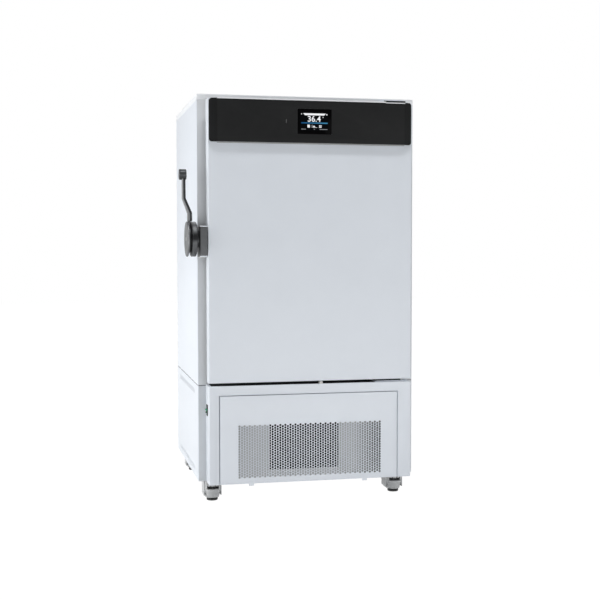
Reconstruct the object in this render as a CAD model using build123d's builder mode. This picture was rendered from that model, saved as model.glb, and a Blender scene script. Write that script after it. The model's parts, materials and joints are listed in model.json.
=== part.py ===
from build123d import *
import os
from math import cos, radians, sin

# Upright ultra low temperature freezer on levelling casters, in millimetres.
# +Z is up and -Y is the front. The origin is on the floor, under the middle of the whole.

# Cabinet
cabinet_width = 860
cabinet_depth = 740
cabinet_height = 1488
base_height = 372
cap_height = 22
cap_edge_radius = 3
sheet = 1.5
bend_radius = 4
insulation_wall = 130
foam_gap = 2
frame_depth = 20

# Cold chamber
liner_sheet = 1.5
liner_corner = 6
coil_section = 10
coil_loops = 7
coil_front_gap = 120
shelf_count = 3
shelf_sheet = 2
shelf_flange = 18
shelf_side_gap = 8
shelf_rear_gap = 10
rail_width = 22
rail_thickness = 4
rail_inset = 60
clip_length = 18
clip_height = 10
inner_door_thickness = 28
inner_door_setback = 36
inner_door_gap = 4
inner_door_split = 9
inner_door_corner = 8
inner_notch_width = 26
inner_notch_height = 90
inner_pin_diameter = 6
inner_pin_length = 14
inner_bore_room = 1
inner_lug_thickness = 3
inner_lug_length = 28
inner_hinge_inset = 12
inner_pin_edge = 7

# Outer door
door_inset = 30
door_reach = 85
door_top_drop = 26
door_bottom_rise = 16
door_edge_radius = 6
gasket_gap = 30
gasket_width = 30
gasket_lip = 14
gasket_base = 5
gasket_overlap = 8
door_panel_sheet = 2
plug_depth = 22
plug_clearance = 12
plug_corner = 20
hinge_inset = 28
hinge_setback = 45
hinge_pin_diameter = 12
hinge_bush_diameter = 20
hinge_bush_length = 30
hinge_bush_flange = 28
hinge_bush_flange_height = 2
hinge_plate_thickness = 4
hinge_plate_reach = 70
upper_hinge_length = 104
lower_hinge_length = 130
hinge_plate_nose = 16

# Control fascia on the door
fascia_height = 162
fascia_inset = 4.5
fascia_proud = 15
fascia_end_slope = 30
fascia_end_step = 4
fascia_wall = 3
fascia_corner = 11
display_width = 133
display_height = 96
display_thickness = 6
display_drop = 33
display_offset = 8
display_corner = 3
indicator_width = 4
indicator_height = 14
indicator_offset = 102
indicator_depth = 5

# Side latch
latch_height = 935
latch_axis_setback = 43
bracket_height = 114
bracket_bottom_drop = 67
bracket_side_gap = 1
bracket_front_setback = 5
bracket_rear_gap = 10
bracket_wall = 4
bracket_corner = 5
drum_diameter = 133
drum_thickness = 25
drum_neck_diameter = 64
drum_neck_length = 5
drum_edge = 3
latch_shaft_diameter = 16
disc_thickness = 7
lever_gap = 1
lever_plate_diameter = 104
lever_width = 26
lever_thickness = 9
lever_rise_start = 97
lever_rise_end = 153
lever_step = 20
lever_bend_radius = 18
knob_height = 243
knob_offset = 3.5
knob_diameter = 40
knob_length = 27
knob_edge = 3
cam_thickness = 12
cam_radius = 15
cam_reach = 30
cam_nose_radius = 8
keeper_width = 18
keeper_height = 40
keeper_plate = 4
keeper_reach = 18
keeper_roller_diameter = 10
keeper_roller_length = 16
keeper_drop = 52

# Base with the machine compartment
lower_fascia_rise = 5
fascia_sheet = 2
panel_left = 69
panel_right = 84
panel_height = 341
panel_gap = 3
jamb_depth = 24
jamb_lip = 12
panel_seat_gap = 0.3
panel_tab_left = 124
panel_tab_right = 135
panel_tab_width = 20
panel_tab_drop = 8
grille_left = 144
grille_width = 560
grille_bottom = 22
grille_height = 201
grille_pitch = 28
grille_hole = 18
tray_sheet = 2
tray_edge = 30
air_opening_left = 280
air_opening_width = 278
air_opening_bottom = 33
air_opening_height = 190
vent_front = 110
vent_length = 528
vent_height = 22
vent_low = 19
vent_high = 326
vent_slots = 14
vent_bridge = 9
rear_slot_length = 200
rear_bank_pitch = 300
rear_slot_height = 8
rear_slot_pitch = 22
rear_slot_rows = 9
inlet_width = 50
inlet_height = 34
inlet_flange = 6
inlet_depth = 32
inlet_height_up = 60
inlet_from_side = 110
inlet_recess = 20
inlet_contact = 2
switch_height = 282
switch_setback = 40
switch_width = 24
switch_length = 26
switch_lip = 3
switch_end_lip = 8
switch_lip_proud = 2
switch_depth = 26
switch_well = 18
rocker_gap = 3
rocker_side_gap = 0.5
rocker_proud = 7
rocker_tilt = 10
rocker_pivot_depth = 8
rocker_pin = 4
rocker_pin_seat = 2

# Refrigeration
condenser_width = 300
condenser_height = 225
condenser_depth = 60
condenser_gap = 10
condenser_plate = 3
condenser_fins = 15
condenser_fin = 2
shroud_depth = 8
fan_diameter = 190
fan_tip_gap = 5
fan_gap = 6
fan_depth = 26
fan_hub_diameter = 52
fan_blades_count = 5
fan_blade_thickness = 3
fan_blade_pitch = 28
fan_bore = 8
motor_diameter = 74
motor_length = 48
motor_gap = 3
motor_strap = 16
motor_strap_thickness = 4
compressor_diameter = 190
compressor_height = 250
compressor_crown = 46
compressor_foot = 210
compressor_foot_depth = 170
compressor_foot_thickness = 6
compressor_spread = 220
compressor_setback = 400
exchanger_diameter = 96
exchanger_height = 250
exchanger_setback = 130
electrical_width = 150
electrical_depth = 120
electrical_height = 200
electrical_side_gap = 16
electrical_setback = 6

# Levelling casters
caster_height = 86
caster_side_inset = 60
caster_front_inset = 55
caster_rear_inset = 80
caster_plate_size = 74
caster_plate_thickness = 5
caster_plate_corner = 8
caster_bolt_pitch = 56
caster_bolt_hole = 9
caster_spigot_diameter = 22
caster_spigot_length = 12
caster_swivel_gap = 0.4
caster_body_width = 70
caster_body_front = 34
caster_body_rear = 62
caster_body_corner = 14
caster_body_bottom = 12
caster_waist = 42
caster_taper = 16
caster_wheel_diameter = 44
caster_wheel_width = 24
caster_wheel_trail = 50
caster_wheel_lift = 4
caster_wheel_gap = 2
caster_wheel_edge = 4
caster_axle_diameter = 8
caster_axle_seat = 10
foot_diameter = 44
foot_height = 10
foot_travel = 10
foot_recess_gap = 2
foot_edge = 2
screw_diameter = 12
thumbwheel_diameter = 42
thumbwheel_height = 10
thumbwheel_up = 46
thumbwheel_notches = 8
thumbwheel_notch = 3

# Clearance of a running fit, on the radius
run_fit = 0.05
# Clearance between two pieces that must not touch
touch_gap = 0.3

# Places worked out from the sizes above
lever_reach = bracket_side_gap + drum_neck_length + drum_thickness + lever_gap + lever_thickness / 2
handle_reach = lever_reach + lever_step + knob_offset + knob_length / 2
front_reach = latch_axis_setback + drum_diameter / 2
cab_x = handle_reach / 2
left_x = cab_x - cabinet_width / 2
right_x = cab_x + cabinet_width / 2
front_y = (front_reach - cabinet_depth) / 2
rear_y = front_y + cabinet_depth
cab_z = caster_height
seam_z = cab_z + base_height
top_z = cab_z + cabinet_height
cap_z = top_z - cap_height

chamber_width = cabinet_width - 2 * insulation_wall
chamber_left = cab_x - chamber_width / 2
chamber_right = cab_x + chamber_width / 2
chamber_bottom = seam_z + insulation_wall
chamber_top = top_z - insulation_wall
chamber_height = chamber_top - chamber_bottom
chamber_mid_z = (chamber_bottom + chamber_top) / 2
liner_front = front_y + frame_depth
chamber_rear = rear_y - insulation_wall

door_left = left_x + door_inset
door_right = right_x - door_inset
door_front = front_y - door_reach
door_back = front_y - gasket_gap
door_bottom = seam_z + door_bottom_rise
door_top = top_z - door_top_drop
hinge_x = door_right - hinge_inset
hinge_y = front_y - hinge_setback
lower_fascia_top = seam_z + lower_fascia_rise
lower_fascia_front = front_y - door_reach

os.makedirs("parts", exist_ok=True)


def block(x, y, z, mode=Mode.ADD):
    """A box between two coordinates on each axis, in the part that is being built."""
    with Locations(((x[0] + x[1]) / 2, (y[0] + y[1]) / 2, (z[0] + z[1]) / 2)):
        Box(x[1] - x[0], y[1] - y[0], z[1] - z[0], mode=mode)


# Outer case of the insulated cabinet: side walls, rear wall and floor folded from sheet steel.
with BuildPart() as outer_case:
    block((left_x, right_x), (front_y, rear_y), (seam_z, cap_z))
    fillet(outer_case.edges().filter_by(Axis.Z).group_by(Axis.Y)[-1], bend_radius)
    case_mouths = [outer_case.faces().sort_by(Axis.Y)[0], outer_case.faces().sort_by(Axis.Z)[-1]]
    offset(amount=-sheet, openings=case_mouths)
outer_case.part.label = "outer_case"
export_step(outer_case.part, "parts/outer_case.step")

# Cap: a folded lid whose skirt stands on the case.
with BuildPart() as top_cover:
    block((left_x, right_x), (front_y, rear_y), (cap_z, top_z))
    fillet(top_cover.edges().filter_by(Axis.Z).group_by(Axis.Y)[-1], bend_radius)
    fillet(top_cover.faces().sort_by(Axis.Z)[-1].edges(), cap_edge_radius)
    offset(amount=-sheet, openings=top_cover.faces().sort_by(Axis.Z)[0])
top_cover.part.label = "top_cover"
export_step(top_cover.part, "parts/top_cover.step")

# Front frame round the chamber mouth, which the door gasket closes on.
frame_bottom = seam_z + sheet
with BuildPart() as front_frame:
    with BuildSketch(Plane.XZ.offset(-front_y)):
        with Locations((cab_x, (frame_bottom + cap_z) / 2)):
            Rectangle(cabinet_width - 2 * sheet, cap_z - frame_bottom)
        with Locations((cab_x, chamber_mid_z)):
            RectangleRounded(chamber_width, chamber_height, liner_corner, mode=Mode.SUBTRACT)
    extrude(amount=-frame_depth)
front_frame.part.label = "front_frame"
export_step(front_frame.part, "parts/front_frame.step")

# Stainless liner of the chamber, open to the front.
with BuildPart() as chamber_liner:
    with BuildSketch(Plane.XZ.offset(-liner_front)):
        with Locations((cab_x, chamber_mid_z)):
            RectangleRounded(
                chamber_width + 2 * liner_sheet, chamber_height + 2 * liner_sheet, liner_corner + liner_sheet
            )
    extrude(amount=-(chamber_rear + liner_sheet - liner_front))
    offset(amount=-liner_sheet, openings=chamber_liner.faces().sort_by(Axis.Y)[0])
chamber_liner.part.label = "chamber_liner"
export_step(chamber_liner.part, "parts/chamber_liner.step")

# Evaporator: one tube laid in level loops round three sides of the liner, joined by risers in front.
coil_left = chamber_left - liner_sheet
coil_right = chamber_right + liner_sheet
coil_front = front_y + coil_front_gap
coil_rear = chamber_rear + liner_sheet
coil_pitch = (chamber_height - 2 * liner_corner - coil_section) / (coil_loops - 1)
with BuildPart() as evaporator_coil:
    for loop in range(coil_loops):
        loop_z = chamber_bottom + liner_corner + loop * coil_pitch
        loop_span = (loop_z, loop_z + coil_section)
        block((coil_left - coil_section, coil_left), (coil_front, coil_rear), loop_span)
        block((coil_right, coil_right + coil_section), (coil_front, coil_rear), loop_span)
        block(
            (coil_left - coil_section, coil_right + coil_section),
            (coil_rear, coil_rear + coil_section),
            loop_span,
        )
        if loop > 0:
            riser_x = coil_left - coil_section if loop % 2 else coil_right
            riser_span = (loop_z - coil_pitch, loop_z + coil_section)
            block((riser_x, riser_x + coil_section), (coil_front, coil_front + coil_section), riser_span)
evaporator_coil.part.label = "evaporator_coil"
export_step(evaporator_coil.part, "parts/evaporator_coil.step")

# Foamed insulation between case and liner.
with BuildPart() as insulation:
    block(
        (left_x + sheet, right_x - sheet),
        (liner_front, rear_y - sheet),
        (frame_bottom, top_z - sheet - foam_gap),
    )
    fillet(insulation.edges().filter_by(Axis.Z).group_by(Axis.Y)[-1], bend_radius - sheet)
    with BuildSketch(Plane.XZ.offset(-liner_front)):
        with Locations((cab_x, chamber_mid_z)):
            RectangleRounded(
                chamber_width + 2 * liner_sheet, chamber_height + 2 * liner_sheet, liner_corner + liner_sheet
            )
    extrude(amount=-(chamber_rear + liner_sheet - liner_front), mode=Mode.SUBTRACT)
    add(evaporator_coil.part, mode=Mode.SUBTRACT)
insulation.part.label = "insulation"
export_step(insulation.part, "parts/insulation.step")

# Shelf rails on the chamber's side walls, with the clips that the shelves rest on.
inner_door_front = front_y + inner_door_setback
inner_door_back = inner_door_front + inner_door_thickness
shelf_front = inner_door_back + shelf_side_gap
shelf_rear = chamber_rear - shelf_rear_gap
shelf_pitch = chamber_height / (shelf_count + 1)
rail_rows = (shelf_front + rail_inset, shelf_rear - rail_inset)
with BuildPart() as shelf_rails:
    for rail_y in rail_rows:
        for wall_x, inward in ((chamber_left, 1), (chamber_right, -1)):
            rail_x = sorted((wall_x, wall_x + inward * rail_thickness))
            rail_y_span = (rail_y - rail_width / 2, rail_y + rail_width / 2)
            block(rail_x, rail_y_span, (chamber_bottom + liner_corner, chamber_top - liner_corner))
            clip_root = wall_x + inward * rail_thickness
            clip_x = sorted((clip_root, clip_root + inward * clip_length))
            for shelf in range(1, shelf_count + 1):
                clip_top = chamber_bottom + shelf * shelf_pitch
                block(clip_x, rail_y_span, (clip_top - clip_height, clip_top))
shelf_rails.part.label = "shelf_rails"
export_step(shelf_rails.part, "parts/shelf_rails.step")

# Shelves: stainless trays with the front and rear edges folded down.
shelf_left = chamber_left + rail_thickness + shelf_side_gap / 2
shelf_right = chamber_right - rail_thickness - shelf_side_gap / 2
with BuildPart() as shelves:
    for shelf in range(1, shelf_count + 1):
        shelf_z = chamber_bottom + shelf * shelf_pitch
        block((shelf_left, shelf_right), (shelf_front, shelf_rear), (shelf_z, shelf_z + shelf_sheet))
        for fold_y in (shelf_front, shelf_rear - shelf_sheet):
            fold_span = (fold_y, fold_y + shelf_sheet)
            block((shelf_left, shelf_right), fold_span, (shelf_z - shelf_flange, shelf_z))
shelves.part.label = "shelves"
export_step(shelves.part, "parts/shelves.step")

# Two inner doors, one above the other, each with a finger notch at its free edge.
inner_hinge_x = chamber_right - inner_hinge_inset
inner_hinge_y = inner_door_front + inner_pin_edge
inner_door_left = chamber_left + inner_door_gap
inner_door_right = inner_hinge_x + inner_pin_edge
inner_bore_depth = inner_pin_length + inner_bore_room
inner_split_z = chamber_mid_z
inner_doors_top = chamber_top - liner_corner - inner_door_split
inner_doors_bottom = chamber_bottom + liner_corner + inner_door_split


def inner_door(bottom, top):
    """A foam-filled panel with bores for its two hinge pins."""
    with BuildPart() as door:
        with BuildSketch(Plane.XZ.offset(-inner_door_front)):
            with Locations(((inner_door_left + inner_door_right) / 2, (bottom + top) / 2)):
                RectangleRounded(inner_door_right - inner_door_left, top - bottom, inner_door_corner)
            with Locations((inner_door_left, (bottom + top) / 2)):
                SlotOverall(inner_notch_height, inner_notch_width, rotation=90, mode=Mode.SUBTRACT)
        extrude(amount=-inner_door_thickness)
        for bore_z in (bottom, top):
            with Locations((inner_hinge_x, inner_hinge_y, bore_z)):
                Cylinder(inner_pin_diameter / 2 + run_fit, 2 * inner_bore_depth, mode=Mode.SUBTRACT)
    return door.part


inner_door_upper = inner_door(inner_split_z + inner_door_split / 2, inner_doors_top)
inner_door_upper.label = "inner_door_upper"
export_step(inner_door_upper, "parts/inner_door_upper.step")

inner_door_lower = inner_door(inner_doors_bottom, inner_split_z - inner_door_split / 2)
inner_door_lower.label = "inner_door_lower"
export_step(inner_door_lower, "parts/inner_door_lower.step")

# Hinge lugs of the inner doors: a plate on the right wall with a pin above, below or both ways.
lug_half = inner_lug_thickness / 2
lug_places = (
    (inner_doors_top + inner_door_split / 2, (-1,)),
    (inner_split_z, (-1, 1)),
    (inner_doors_bottom - inner_door_split / 2, (1,)),
)
with BuildPart() as inner_hinges:
    for lug_z, pin_ways in lug_places:
        lug_y = (inner_hinge_y - inner_pin_edge, inner_hinge_y + inner_pin_edge)
        block((chamber_right - inner_lug_length, chamber_right), lug_y, (lug_z - lug_half, lug_z + lug_half))
        for way in pin_ways:
            pin_span = inner_door_split / 2 + inner_pin_length
            with Locations((inner_hinge_x, inner_hinge_y, lug_z + way * pin_span / 2)):
                Cylinder(inner_pin_diameter / 2, pin_span)
inner_hinges.part.label = "inner_hinges"
export_step(inner_hinges.part, "parts/inner_hinges.step")

# Door hinge brackets: steel plates that carry a pin above and below the door.
upper_plate_z = door_top + hinge_bush_flange_height + touch_gap
hinge_plate_right = hinge_x + hinge_plate_nose
with BuildPart() as upper_hinge_bracket:
    block(
        (hinge_plate_right - upper_hinge_length, hinge_plate_right),
        (front_y - hinge_plate_reach, front_y),
        (upper_plate_z, upper_plate_z + hinge_plate_thickness),
    )
    fillet(upper_hinge_bracket.edges().filter_by(Axis.Z).group_by(Axis.Y)[0], hinge_plate_nose / 2)
    block(
        (hinge_plate_right - upper_hinge_length, hinge_plate_right),
        (front_y - hinge_plate_thickness, front_y),
        (upper_plate_z, top_z - cap_edge_radius),
    )
upper_hinge_bracket.part.label = "upper_hinge_bracket"
export_step(upper_hinge_bracket.part, "parts/upper_hinge_bracket.step")

lower_plate_z = lower_fascia_top
with BuildPart() as lower_hinge_bracket:
    block(
        (hinge_plate_right - lower_hinge_length, hinge_plate_right),
        (front_y - hinge_plate_reach, front_y),
        (lower_plate_z, lower_plate_z + hinge_plate_thickness),
    )
    fillet(lower_hinge_bracket.edges().filter_by(Axis.Z).group_by(Axis.Y)[0], hinge_plate_nose / 2)
lower_hinge_bracket.part.label = "lower_hinge_bracket"
export_step(lower_hinge_bracket.part, "parts/lower_hinge_bracket.step")

hinge_pin_length = hinge_bush_length - hinge_bush_flange_height
with BuildPart() as hinge_pins:
    upper_pin_bottom = door_top - hinge_pin_length
    with Locations((hinge_x, hinge_y, (upper_pin_bottom + upper_plate_z) / 2)):
        Cylinder(hinge_pin_diameter / 2, upper_plate_z - upper_pin_bottom)
    lower_pin_bottom = lower_plate_z + hinge_plate_thickness
    lower_pin_top = door_bottom + hinge_pin_length
    with Locations((hinge_x, hinge_y, (lower_pin_bottom + lower_pin_top) / 2)):
        Cylinder(hinge_pin_diameter / 2, lower_pin_top - lower_pin_bottom)
hinge_pins.part.label = "hinge_pins"
export_step(hinge_pins.part, "parts/hinge_pins.step")

# Flanged bushes pressed into the door's top and bottom, in which it turns on the pins.
with BuildPart() as hinge_bushes:
    for bush_z, outward in ((door_top, 1), (door_bottom, -1)):
        flange_mid = bush_z + outward * hinge_bush_flange_height / 2
        with Locations((hinge_x, hinge_y, flange_mid)):
            Cylinder(hinge_bush_flange / 2, hinge_bush_flange_height)
        with Locations((hinge_x, hinge_y, bush_z - outward * hinge_bush_length / 2)):
            Cylinder(hinge_bush_diameter / 2, hinge_bush_length)
        with Locations((hinge_x, hinge_y, bush_z)):
            Cylinder(hinge_pin_diameter / 2 + run_fit, 2 * hinge_bush_length, mode=Mode.SUBTRACT)
hinge_bushes.part.label = "hinge_bushes"
export_step(hinge_bushes.part, "parts/hinge_bushes.step")

# Door: a folded steel shell, closed behind by a panel with a raised plug, with foam between.
door_panel_front = door_back - door_panel_sheet
plug_back = front_y + plug_depth
plug_width = chamber_width - 2 * plug_clearance
plug_height = chamber_height - 2 * plug_clearance
core_width = plug_width - 2 * door_panel_sheet
core_height = plug_height - 2 * door_panel_sheet
with BuildPart() as door_shell:
    block((door_left, door_right), (door_front, door_back), (door_bottom, door_top))
    fillet(door_shell.faces().sort_by(Axis.Y)[0].edges(), door_edge_radius)
    offset(amount=-sheet, openings=door_shell.faces().sort_by(Axis.Y)[-1])
    for bore_z in (door_bottom, door_top):
        with Locations((hinge_x, hinge_y, bore_z)):
            Cylinder(hinge_bush_diameter / 2, 2 * hinge_bush_length, mode=Mode.SUBTRACT)
door_shell.part.label = "door_shell"
export_step(door_shell.part, "parts/door_shell.step")

with BuildPart() as door_inner_panel:
    block(
        (door_left + sheet, door_right - sheet),
        (door_panel_front, door_back),
        (door_bottom + sheet, door_top - sheet),
    )
    with BuildSketch(Plane.XZ.offset(-door_back)):
        with Locations((cab_x, chamber_mid_z)):
            RectangleRounded(plug_width, plug_height, plug_corner)
    extrude(amount=-(plug_back - door_back))
    with BuildSketch(Plane.XZ.offset(-door_panel_front)):
        with Locations((cab_x, chamber_mid_z)):
            RectangleRounded(core_width, core_height, plug_corner - door_panel_sheet)
    extrude(amount=-(plug_back - door_panel_sheet - door_panel_front), mode=Mode.SUBTRACT)
door_inner_panel.part.label = "door_inner_panel"
export_step(door_inner_panel.part, "parts/door_inner_panel.step")

with BuildPart() as door_core:
    block(
        (door_left + sheet, door_right - sheet),
        (door_front + sheet, door_panel_front),
        (door_bottom + sheet, door_top - sheet),
    )
    fillet(door_core.faces().sort_by(Axis.Y)[0].edges(), door_edge_radius - sheet)
    with BuildSketch(Plane.XZ.offset(-door_panel_front)):
        with Locations((cab_x, chamber_mid_z)):
            RectangleRounded(core_width, core_height, plug_corner - door_panel_sheet)
    extrude(amount=-(plug_back - door_panel_sheet - door_panel_front))
    for bore_z in (door_bottom, door_top):
        with Locations((hinge_x, hinge_y, bore_z)):
            Cylinder(hinge_bush_diameter / 2, 2 * hinge_bush_length, mode=Mode.SUBTRACT)
door_core.part.label = "door_core"
export_step(door_core.part, "parts/door_core.step")

# Door gasket: a rubber ring with a broad base and a narrower sealing lip.
gasket_inner_width = chamber_width + 2 * gasket_overlap
gasket_inner_height = chamber_height + 2 * gasket_overlap
lip_inset = (gasket_width - gasket_lip) / 2
gasket_steps = (
    (door_back, gasket_base, 0),
    (door_back + gasket_base, gasket_gap - gasket_base - touch_gap, lip_inset),
)
with BuildPart() as door_gasket:
    for step_y, step_depth, inset in gasket_steps:
        with BuildSketch(Plane.XZ.offset(-step_y)):
            with Locations((cab_x, chamber_mid_z)):
                ring = 2 * (gasket_width - inset)
                Rectangle(gasket_inner_width + ring, gasket_inner_height + ring)
                Rectangle(gasket_inner_width + 2 * inset, gasket_inner_height + 2 * inset, mode=Mode.SUBTRACT)
        extrude(amount=-step_depth)
door_gasket.part.label = "door_gasket"
export_step(door_gasket.part, "parts/door_gasket.step")

# Control fascia: a black moulding over the door's upper end, with ends that slope back to the door.
fascia_bottom = door_top - fascia_height
fascia_front = door_front - fascia_proud
fascia_left = door_left + fascia_inset
fascia_right = door_right - fascia_inset
display_x = cab_x + display_offset
display_mid_z = door_top - display_drop - display_height / 2
indicator_x = cab_x - indicator_offset
with BuildPart() as control_fascia:
    with BuildSketch(Plane.XY.offset(fascia_bottom)):
        with BuildLine():
            Polyline(
                (fascia_left, door_front),
                (fascia_left, door_front - fascia_end_step),
                (fascia_left + fascia_end_slope, fascia_front),
                (fascia_right - fascia_end_slope, fascia_front),
                (fascia_right, door_front - fascia_end_step),
                (fascia_right, door_front),
                close=True,
            )
        make_face()
    extrude(amount=fascia_height)
    with BuildSketch(Plane.XZ.offset(-door_front)) as fascia_outline:
        with Locations((cab_x, fascia_bottom + fascia_height / 2)):
            Rectangle(fascia_right - fascia_left, fascia_height)
        fillet(fascia_outline.vertices().group_by(Axis.Z)[-1], fascia_corner)
    extrude(amount=fascia_proud, mode=Mode.INTERSECT)
    block(
        (fascia_left + fascia_end_slope, fascia_right - fascia_end_slope),
        (fascia_front + fascia_wall, door_front),
        (fascia_bottom + fascia_wall, door_top - fascia_wall),
        Mode.SUBTRACT,
    )
    with BuildSketch(Plane.XZ.offset(-fascia_front)):
        with Locations((display_x, display_mid_z)):
            RectangleRounded(display_width, display_height, display_corner)
        with Locations((indicator_x, display_mid_z)):
            Rectangle(indicator_width, indicator_height)
    extrude(amount=-fascia_wall, mode=Mode.SUBTRACT)
control_fascia.part.label = "control_fascia"
export_step(control_fascia.part, "parts/control_fascia.step")

# Display module and indicator lens, set in the fascia's windows.
with BuildPart() as display_module:
    with BuildSketch(Plane.XZ.offset(-fascia_front)):
        with Locations((display_x, display_mid_z)):
            RectangleRounded(display_width - 2 * touch_gap, display_height - 2 * touch_gap, display_corner)
    extrude(amount=-display_thickness)
display_module.part.label = "display_module"
export_step(display_module.part, "parts/display_module.step")

with BuildPart() as indicator_lens:
    with BuildSketch(Plane.XZ.offset(-fascia_front)):
        with Locations((indicator_x, display_mid_z)):
            Rectangle(indicator_width - 2 * touch_gap, indicator_height - 2 * touch_gap)
    extrude(amount=-indicator_depth)
indicator_lens.part.label = "indicator_lens"
export_step(indicator_lens.part, "parts/indicator_lens.step")

# Latch bracket on the door's free edge: a cast housing, open behind, that the latch shaft runs in.
latch_y = front_y - latch_axis_setback
latch_z = cab_z + latch_height
bracket_left = left_x - bracket_side_gap
bracket_bottom = latch_z - bracket_bottom_drop
with BuildPart() as handle_bracket:
    block(
        (bracket_left, door_left),
        (door_front + bracket_front_setback, front_y - bracket_rear_gap),
        (bracket_bottom, bracket_bottom + bracket_height),
    )
    fillet(handle_bracket.faces().sort_by(Axis.Y)[0].edges(), bracket_corner)
    offset(amount=-bracket_wall, openings=handle_bracket.faces().sort_by(Axis.Y)[-1])
    with Locations(Location((bracket_left, latch_y, latch_z), (0, 90, 0))):
        Cylinder(latch_shaft_diameter / 2 + run_fit, 3 * bracket_wall, mode=Mode.SUBTRACT)
handle_bracket.part.label = "handle_bracket"
export_step(handle_bracket.part, "parts/handle_bracket.step")


def turned_on_latch(right, length, diameter, mode=Mode.ADD):
    """A cylinder on the latch axis that runs to the left from a given place."""
    with Locations(Location((right - length / 2, latch_y, latch_z), (0, 90, 0))):
        Cylinder(diameter / 2, length, mode=mode)


# Latch drum: the fixed round base of the handle, on a neck that stands on the bracket.
drum_right = bracket_left - drum_neck_length
drum_left = drum_right - drum_thickness
shaft_bore = latch_shaft_diameter + 2 * run_fit
with BuildPart() as latch_drum:
    turned_on_latch(drum_right, drum_thickness, drum_diameter)
    chamfer(latch_drum.edges().filter_by(GeomType.CIRCLE), drum_edge)
    turned_on_latch(bracket_left, drum_neck_length, drum_neck_diameter)
    turned_on_latch(bracket_left, drum_neck_length + drum_thickness, shaft_bore, Mode.SUBTRACT)
latch_drum.part.label = "latch_drum"
export_step(latch_drum.part, "parts/latch_drum.step")

# Latch lever: a round plate and a flat arm, joggled outwards so that fingers fit behind it.
lever_right = drum_left - lever_gap
lever_x = lever_right - lever_thickness / 2
knob_z = latch_z + knob_height
lever_end = knob_z + knob_diameter / 4
with BuildPart() as latch_lever:
    turned_on_latch(lever_right, lever_thickness, lever_plate_diameter)
    with BuildSketch(Plane.XZ.offset(-latch_y + lever_width / 2)):
        with BuildLine():
            FilletPolyline(
                (lever_x, latch_z),
                (lever_x, latch_z + lever_rise_start),
                (lever_x - lever_step, latch_z + lever_rise_end),
                (lever_x - lever_step, lever_end),
                radius=lever_bend_radius,
            )
        trace(line_width=lever_thickness)
    extrude(amount=-lever_width)
    turned_on_latch(lever_right, lever_thickness, latch_shaft_diameter, Mode.SUBTRACT)
latch_lever.part.label = "latch_lever"
export_step(latch_lever.part, "parts/latch_lever.step")

# Outer disc that covers the lever's plate, and turns with it.
disc_right = lever_right - lever_thickness
with BuildPart() as latch_disc:
    turned_on_latch(disc_right, disc_thickness, drum_diameter)
    fillet(latch_disc.edges().filter_by(GeomType.CIRCLE).sort_by(Axis.X)[0], drum_edge)
    turned_on_latch(disc_right, disc_thickness, latch_shaft_diameter, Mode.SUBTRACT)
latch_disc.part.label = "latch_disc"
export_step(latch_disc.part, "parts/latch_disc.step")

# Grip knob: a short turned barrel, slotted for the lever's end.
knob_x = lever_x - lever_step - knob_offset
with BuildPart() as latch_knob:
    with Locations(Location((knob_x, latch_y, knob_z), (0, 90, 0))):
        Cylinder(knob_diameter / 2, knob_length)
    fillet(latch_knob.edges().filter_by(GeomType.CIRCLE), knob_edge)
    block(
        (lever_x - lever_step - lever_thickness / 2, lever_x - lever_step + lever_thickness / 2),
        (latch_y - lever_width / 2, latch_y + lever_width / 2),
        (knob_z - knob_diameter, lever_end),
        Mode.SUBTRACT,
    )
latch_knob.part.label = "latch_knob"
export_step(latch_knob.part, "parts/latch_knob.step")

# Shaft from the disc through drum and bracket, with the cam that presses on the frame to break the seal.
shaft_right = door_left - bracket_wall - touch_gap
cam_x = (bracket_left + door_left) / 2
with BuildPart() as latch_shaft:
    turned_on_latch(shaft_right, shaft_right - disc_right + disc_thickness, latch_shaft_diameter)
    with BuildSketch(Plane.YZ.offset(cam_x - cam_thickness / 2)):
        with Locations((latch_y, latch_z)):
            Circle(cam_radius)
        with Locations((latch_y, latch_z - cam_reach)):
            Circle(cam_nose_radius)
        make_hull()
    extrude(amount=cam_thickness)
latch_shaft.part.label = "latch_shaft"
export_step(latch_shaft.part, "parts/latch_shaft.step")

# Keeper on the front frame, behind the bracket: a plate with an arm and a roller.
keeper_z = latch_z - keeper_drop
with BuildPart() as latch_keeper:
    block(
        (cam_x - keeper_width / 2, cam_x + keeper_width / 2),
        (front_y - keeper_plate, front_y),
        (keeper_z - keeper_height / 2, keeper_z + keeper_height / 2),
    )
    block(
        (cam_x - keeper_plate, cam_x + keeper_plate),
        (front_y - keeper_reach, front_y - keeper_plate),
        (keeper_z - keeper_roller_diameter / 2, keeper_z + keeper_roller_diameter / 2),
    )
    with Locations(Location((cam_x, front_y - keeper_reach, keeper_z), (0, 90, 0))):
        Cylinder(keeper_roller_diameter / 2, keeper_roller_length)
latch_keeper.part.label = "latch_keeper"
export_step(latch_keeper.part, "parts/latch_keeper.step")

# Base tray: the steel pan that carries the machines, with the casters bolted under it.
tray_floor = cab_z + tray_sheet
tray_right = right_x - sheet - tray_sheet
with BuildPart() as base_tray:
    block((left_x + sheet, right_x - sheet), (front_y + sheet, rear_y - sheet), (cab_z, cab_z + tray_edge))
    offset(amount=-tray_sheet, openings=base_tray.faces().sort_by(Axis.Z)[-1])
base_tray.part.label = "base_tray"
export_step(base_tray.part, "parts/base_tray.step")

# Wall in front of the machines, with the opening that the condenser draws its air through.
wall_back = front_y + sheet
air_left = left_x + air_opening_left
air_right = air_left + air_opening_width
air_bottom = cab_z + air_opening_bottom
with BuildPart() as base_front_wall:
    block((left_x + sheet, right_x - sheet), (front_y, wall_back), (cab_z, seam_z))
    block(
        (air_left, air_right),
        (front_y, wall_back),
        (air_bottom, air_bottom + air_opening_height),
        Mode.SUBTRACT,
    )
base_front_wall.part.label = "base_front_wall"
export_step(base_front_wall.part, "parts/base_front_wall.step")

# Side panels of the base, each with two ventilated strips.
slot_pitch = vent_length / vent_slots


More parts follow.
